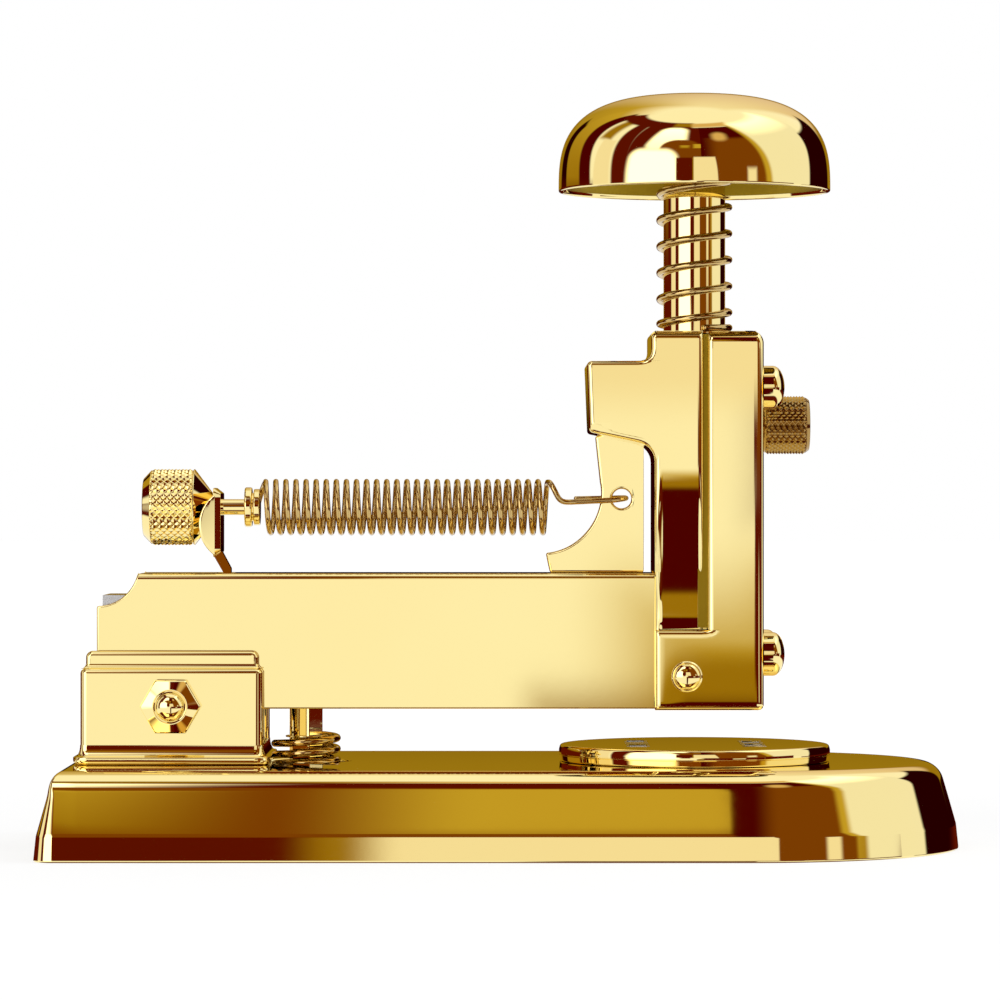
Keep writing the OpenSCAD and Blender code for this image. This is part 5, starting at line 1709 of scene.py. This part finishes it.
    def world(self) -> None:
        """Makes the room white to the camera and in reflections, and half as strong on dull surfaces."""
        world = bpy.data.worlds.new("white room")
        bpy.context.scene.world = world
        world.use_nodes = True
        tree = world.node_tree
        tree.nodes.clear()
        ray = add(tree, "ShaderNodeLightPath").outputs
        seen = add(tree, "ShaderNodeMath", {0: ray["Is Camera Ray"], 1: ray["Is Glossy Ray"]},
                   operation="ADD")
        seen = add(tree, "ShaderNodeMath", {0: seen.outputs[0], 1: ray["Is Transmission Ray"]},
                   operation="ADD", use_clamp=True)
        level = add(tree, "ShaderNodeMapRange", {
            "Value": seen.outputs[0], "To Min": self.room, "To Max": 1.0})
        glow = add(tree, "ShaderNodeBackground", {"Color": (1, 1, 1, 1), "Strength": level.outputs[0]})
        add(tree, "ShaderNodeOutputWorld", {"Surface": glow.outputs[0]})

    def staged(self, name: str, points: Array) -> tuple[bpy.types.Object, bpy.types.NodeTree]:
        """Makes a plain grid of the studio with an empty node material.

        Args:
            name: Its name.
            points: Rows by columns by three, in millimetres.

        Returns:
            The object, marked as staging, and its material's node tree.
        """
        shell = Shell()
        shell.grid(points, ring=False)
        mesh = bpy.data.meshes.new(name)
        mesh.from_pydata((shell.points[0] * MM).tolist(), [], shell.faces[0].tolist())
        made = bpy.data.materials.new(name)
        made.use_nodes = True
        made.node_tree.nodes.clear()
        made.cycles.emission_sampling = "NONE"
        mesh.materials.append(made)
        piece = bpy.data.objects.new(name, mesh)
        bpy.context.scene.collection.objects.link(piece)
        return piece, made.node_tree

    def floor(self) -> None:
        """Lays a pale floor: mostly white by itself, with a matt share that keeps the object's shadow."""
        side = np.array((-1, 0, 1)) * self.floor_half
        x, y = np.meshgrid(side, side)
        floor, tree = self.staged("pale_floor", np.stack([x, y, np.full_like(x, self.floor_z)], axis=-1))
        matt = add(tree, "ShaderNodeBsdfDiffuse", {"Color": rgba(np.full(3, self.floor_matt))})
        spot = add(tree, "ShaderNodeTexCoord").outputs["Object"]
        away = add(tree, "ShaderNodeVectorMath", {0: spot}, operation="LENGTH").outputs["Value"]
        level = add(tree, "ShaderNodeMapRange", {
            "Value": away, "From Min": self.floor_reach[0] * MM, "From Max": self.floor_reach[1] * MM,
            "To Min": self.floor_glow[0], "To Max": self.floor_glow[1]}, interpolation_type="SMOOTHSTEP")
        glow = add(tree, "ShaderNodeEmission", {"Color": (1, 1, 1, 1), "Strength": level.outputs[0]})
        both = add(tree, "ShaderNodeAddShader", {0: matt.outputs[0], 1: glow.outputs[0]})
        add(tree, "ShaderNodeOutputMaterial", {"Surface": both.outputs[0]})
        floor.visible_glossy = False

    def surround(self) -> None:
        """Hangs a ball round everything that only reflections see, white but for its patches."""
        across = joined(np.linspace(-180, 180, 721), np.linspace(-8, 8, 129))
        upright = joined(np.linspace(-90, 90, 361), np.linspace(-10, 10, 81))
        azimuth, elevation = np.meshgrid(across, upright)
        light = np.ones((*azimuth.shape, 3))
        for patch in self.patches:
            patch.paint(light, azimuth, elevation)
        a, e = np.radians(azimuth), np.radians(elevation)
        ball = np.stack([np.sin(a) * np.cos(e), -np.cos(a) * np.cos(e), np.sin(e)], axis=-1)
        piece, tree = self.staged("reflected_studio", ball * self.far + (0, 0, self.centre))
        tone = piece.data.attributes.new("light", "FLOAT_COLOR", "POINT")
        light = np.concatenate([light, np.ones_like(light[..., :1])], axis=-1)
        tone.data.foreach_set("color", light.astype(np.float32).ravel())
        colour = add(tree, "ShaderNodeAttribute", attribute_name="light").outputs["Color"]
        glow = add(tree, "ShaderNodeEmission", {"Color": colour, "Strength": 1.0})
        add(tree, "ShaderNodeOutputMaterial", {"Surface": glow.outputs[0]})
        for ray in ("camera", "diffuse", "shadow", "transmission", "volume_scatter"):
            setattr(piece, "visible_" + ray, False)

    def build(self) -> None:
        """Sets up everything round the object."""
        bpy.context.scene.view_settings.view_transform = "Standard"
        self.world()
        self.floor()
        self.surround()
        for lamp in self.lamps:
            lamp.hang(self.lamp_far, self.centre)
        log.info("studio ready")


def dress_solids() -> None:
    """Gives every solid that stays its finish."""
    for node, solid in frame["nodes"].items():
        solid.data.materials.clear()
        solid.data.materials.append(finish_of_node(node).material())


def main() -> None:
    """Builds the object piece by piece, then the studio round it."""
    logging.basicConfig(level=logging.INFO, format="%(message)s")
    studio = Studio()
    studio.camera()
    dress_solids()
    for part in (Base(), Pivot(), Anvil(), Arm(), Head(), Plunger(), REAR_KNOB, THUMBSCREW, Feed()):
        part.build()
    studio.build()


if __name__ == "__main__":
    main()
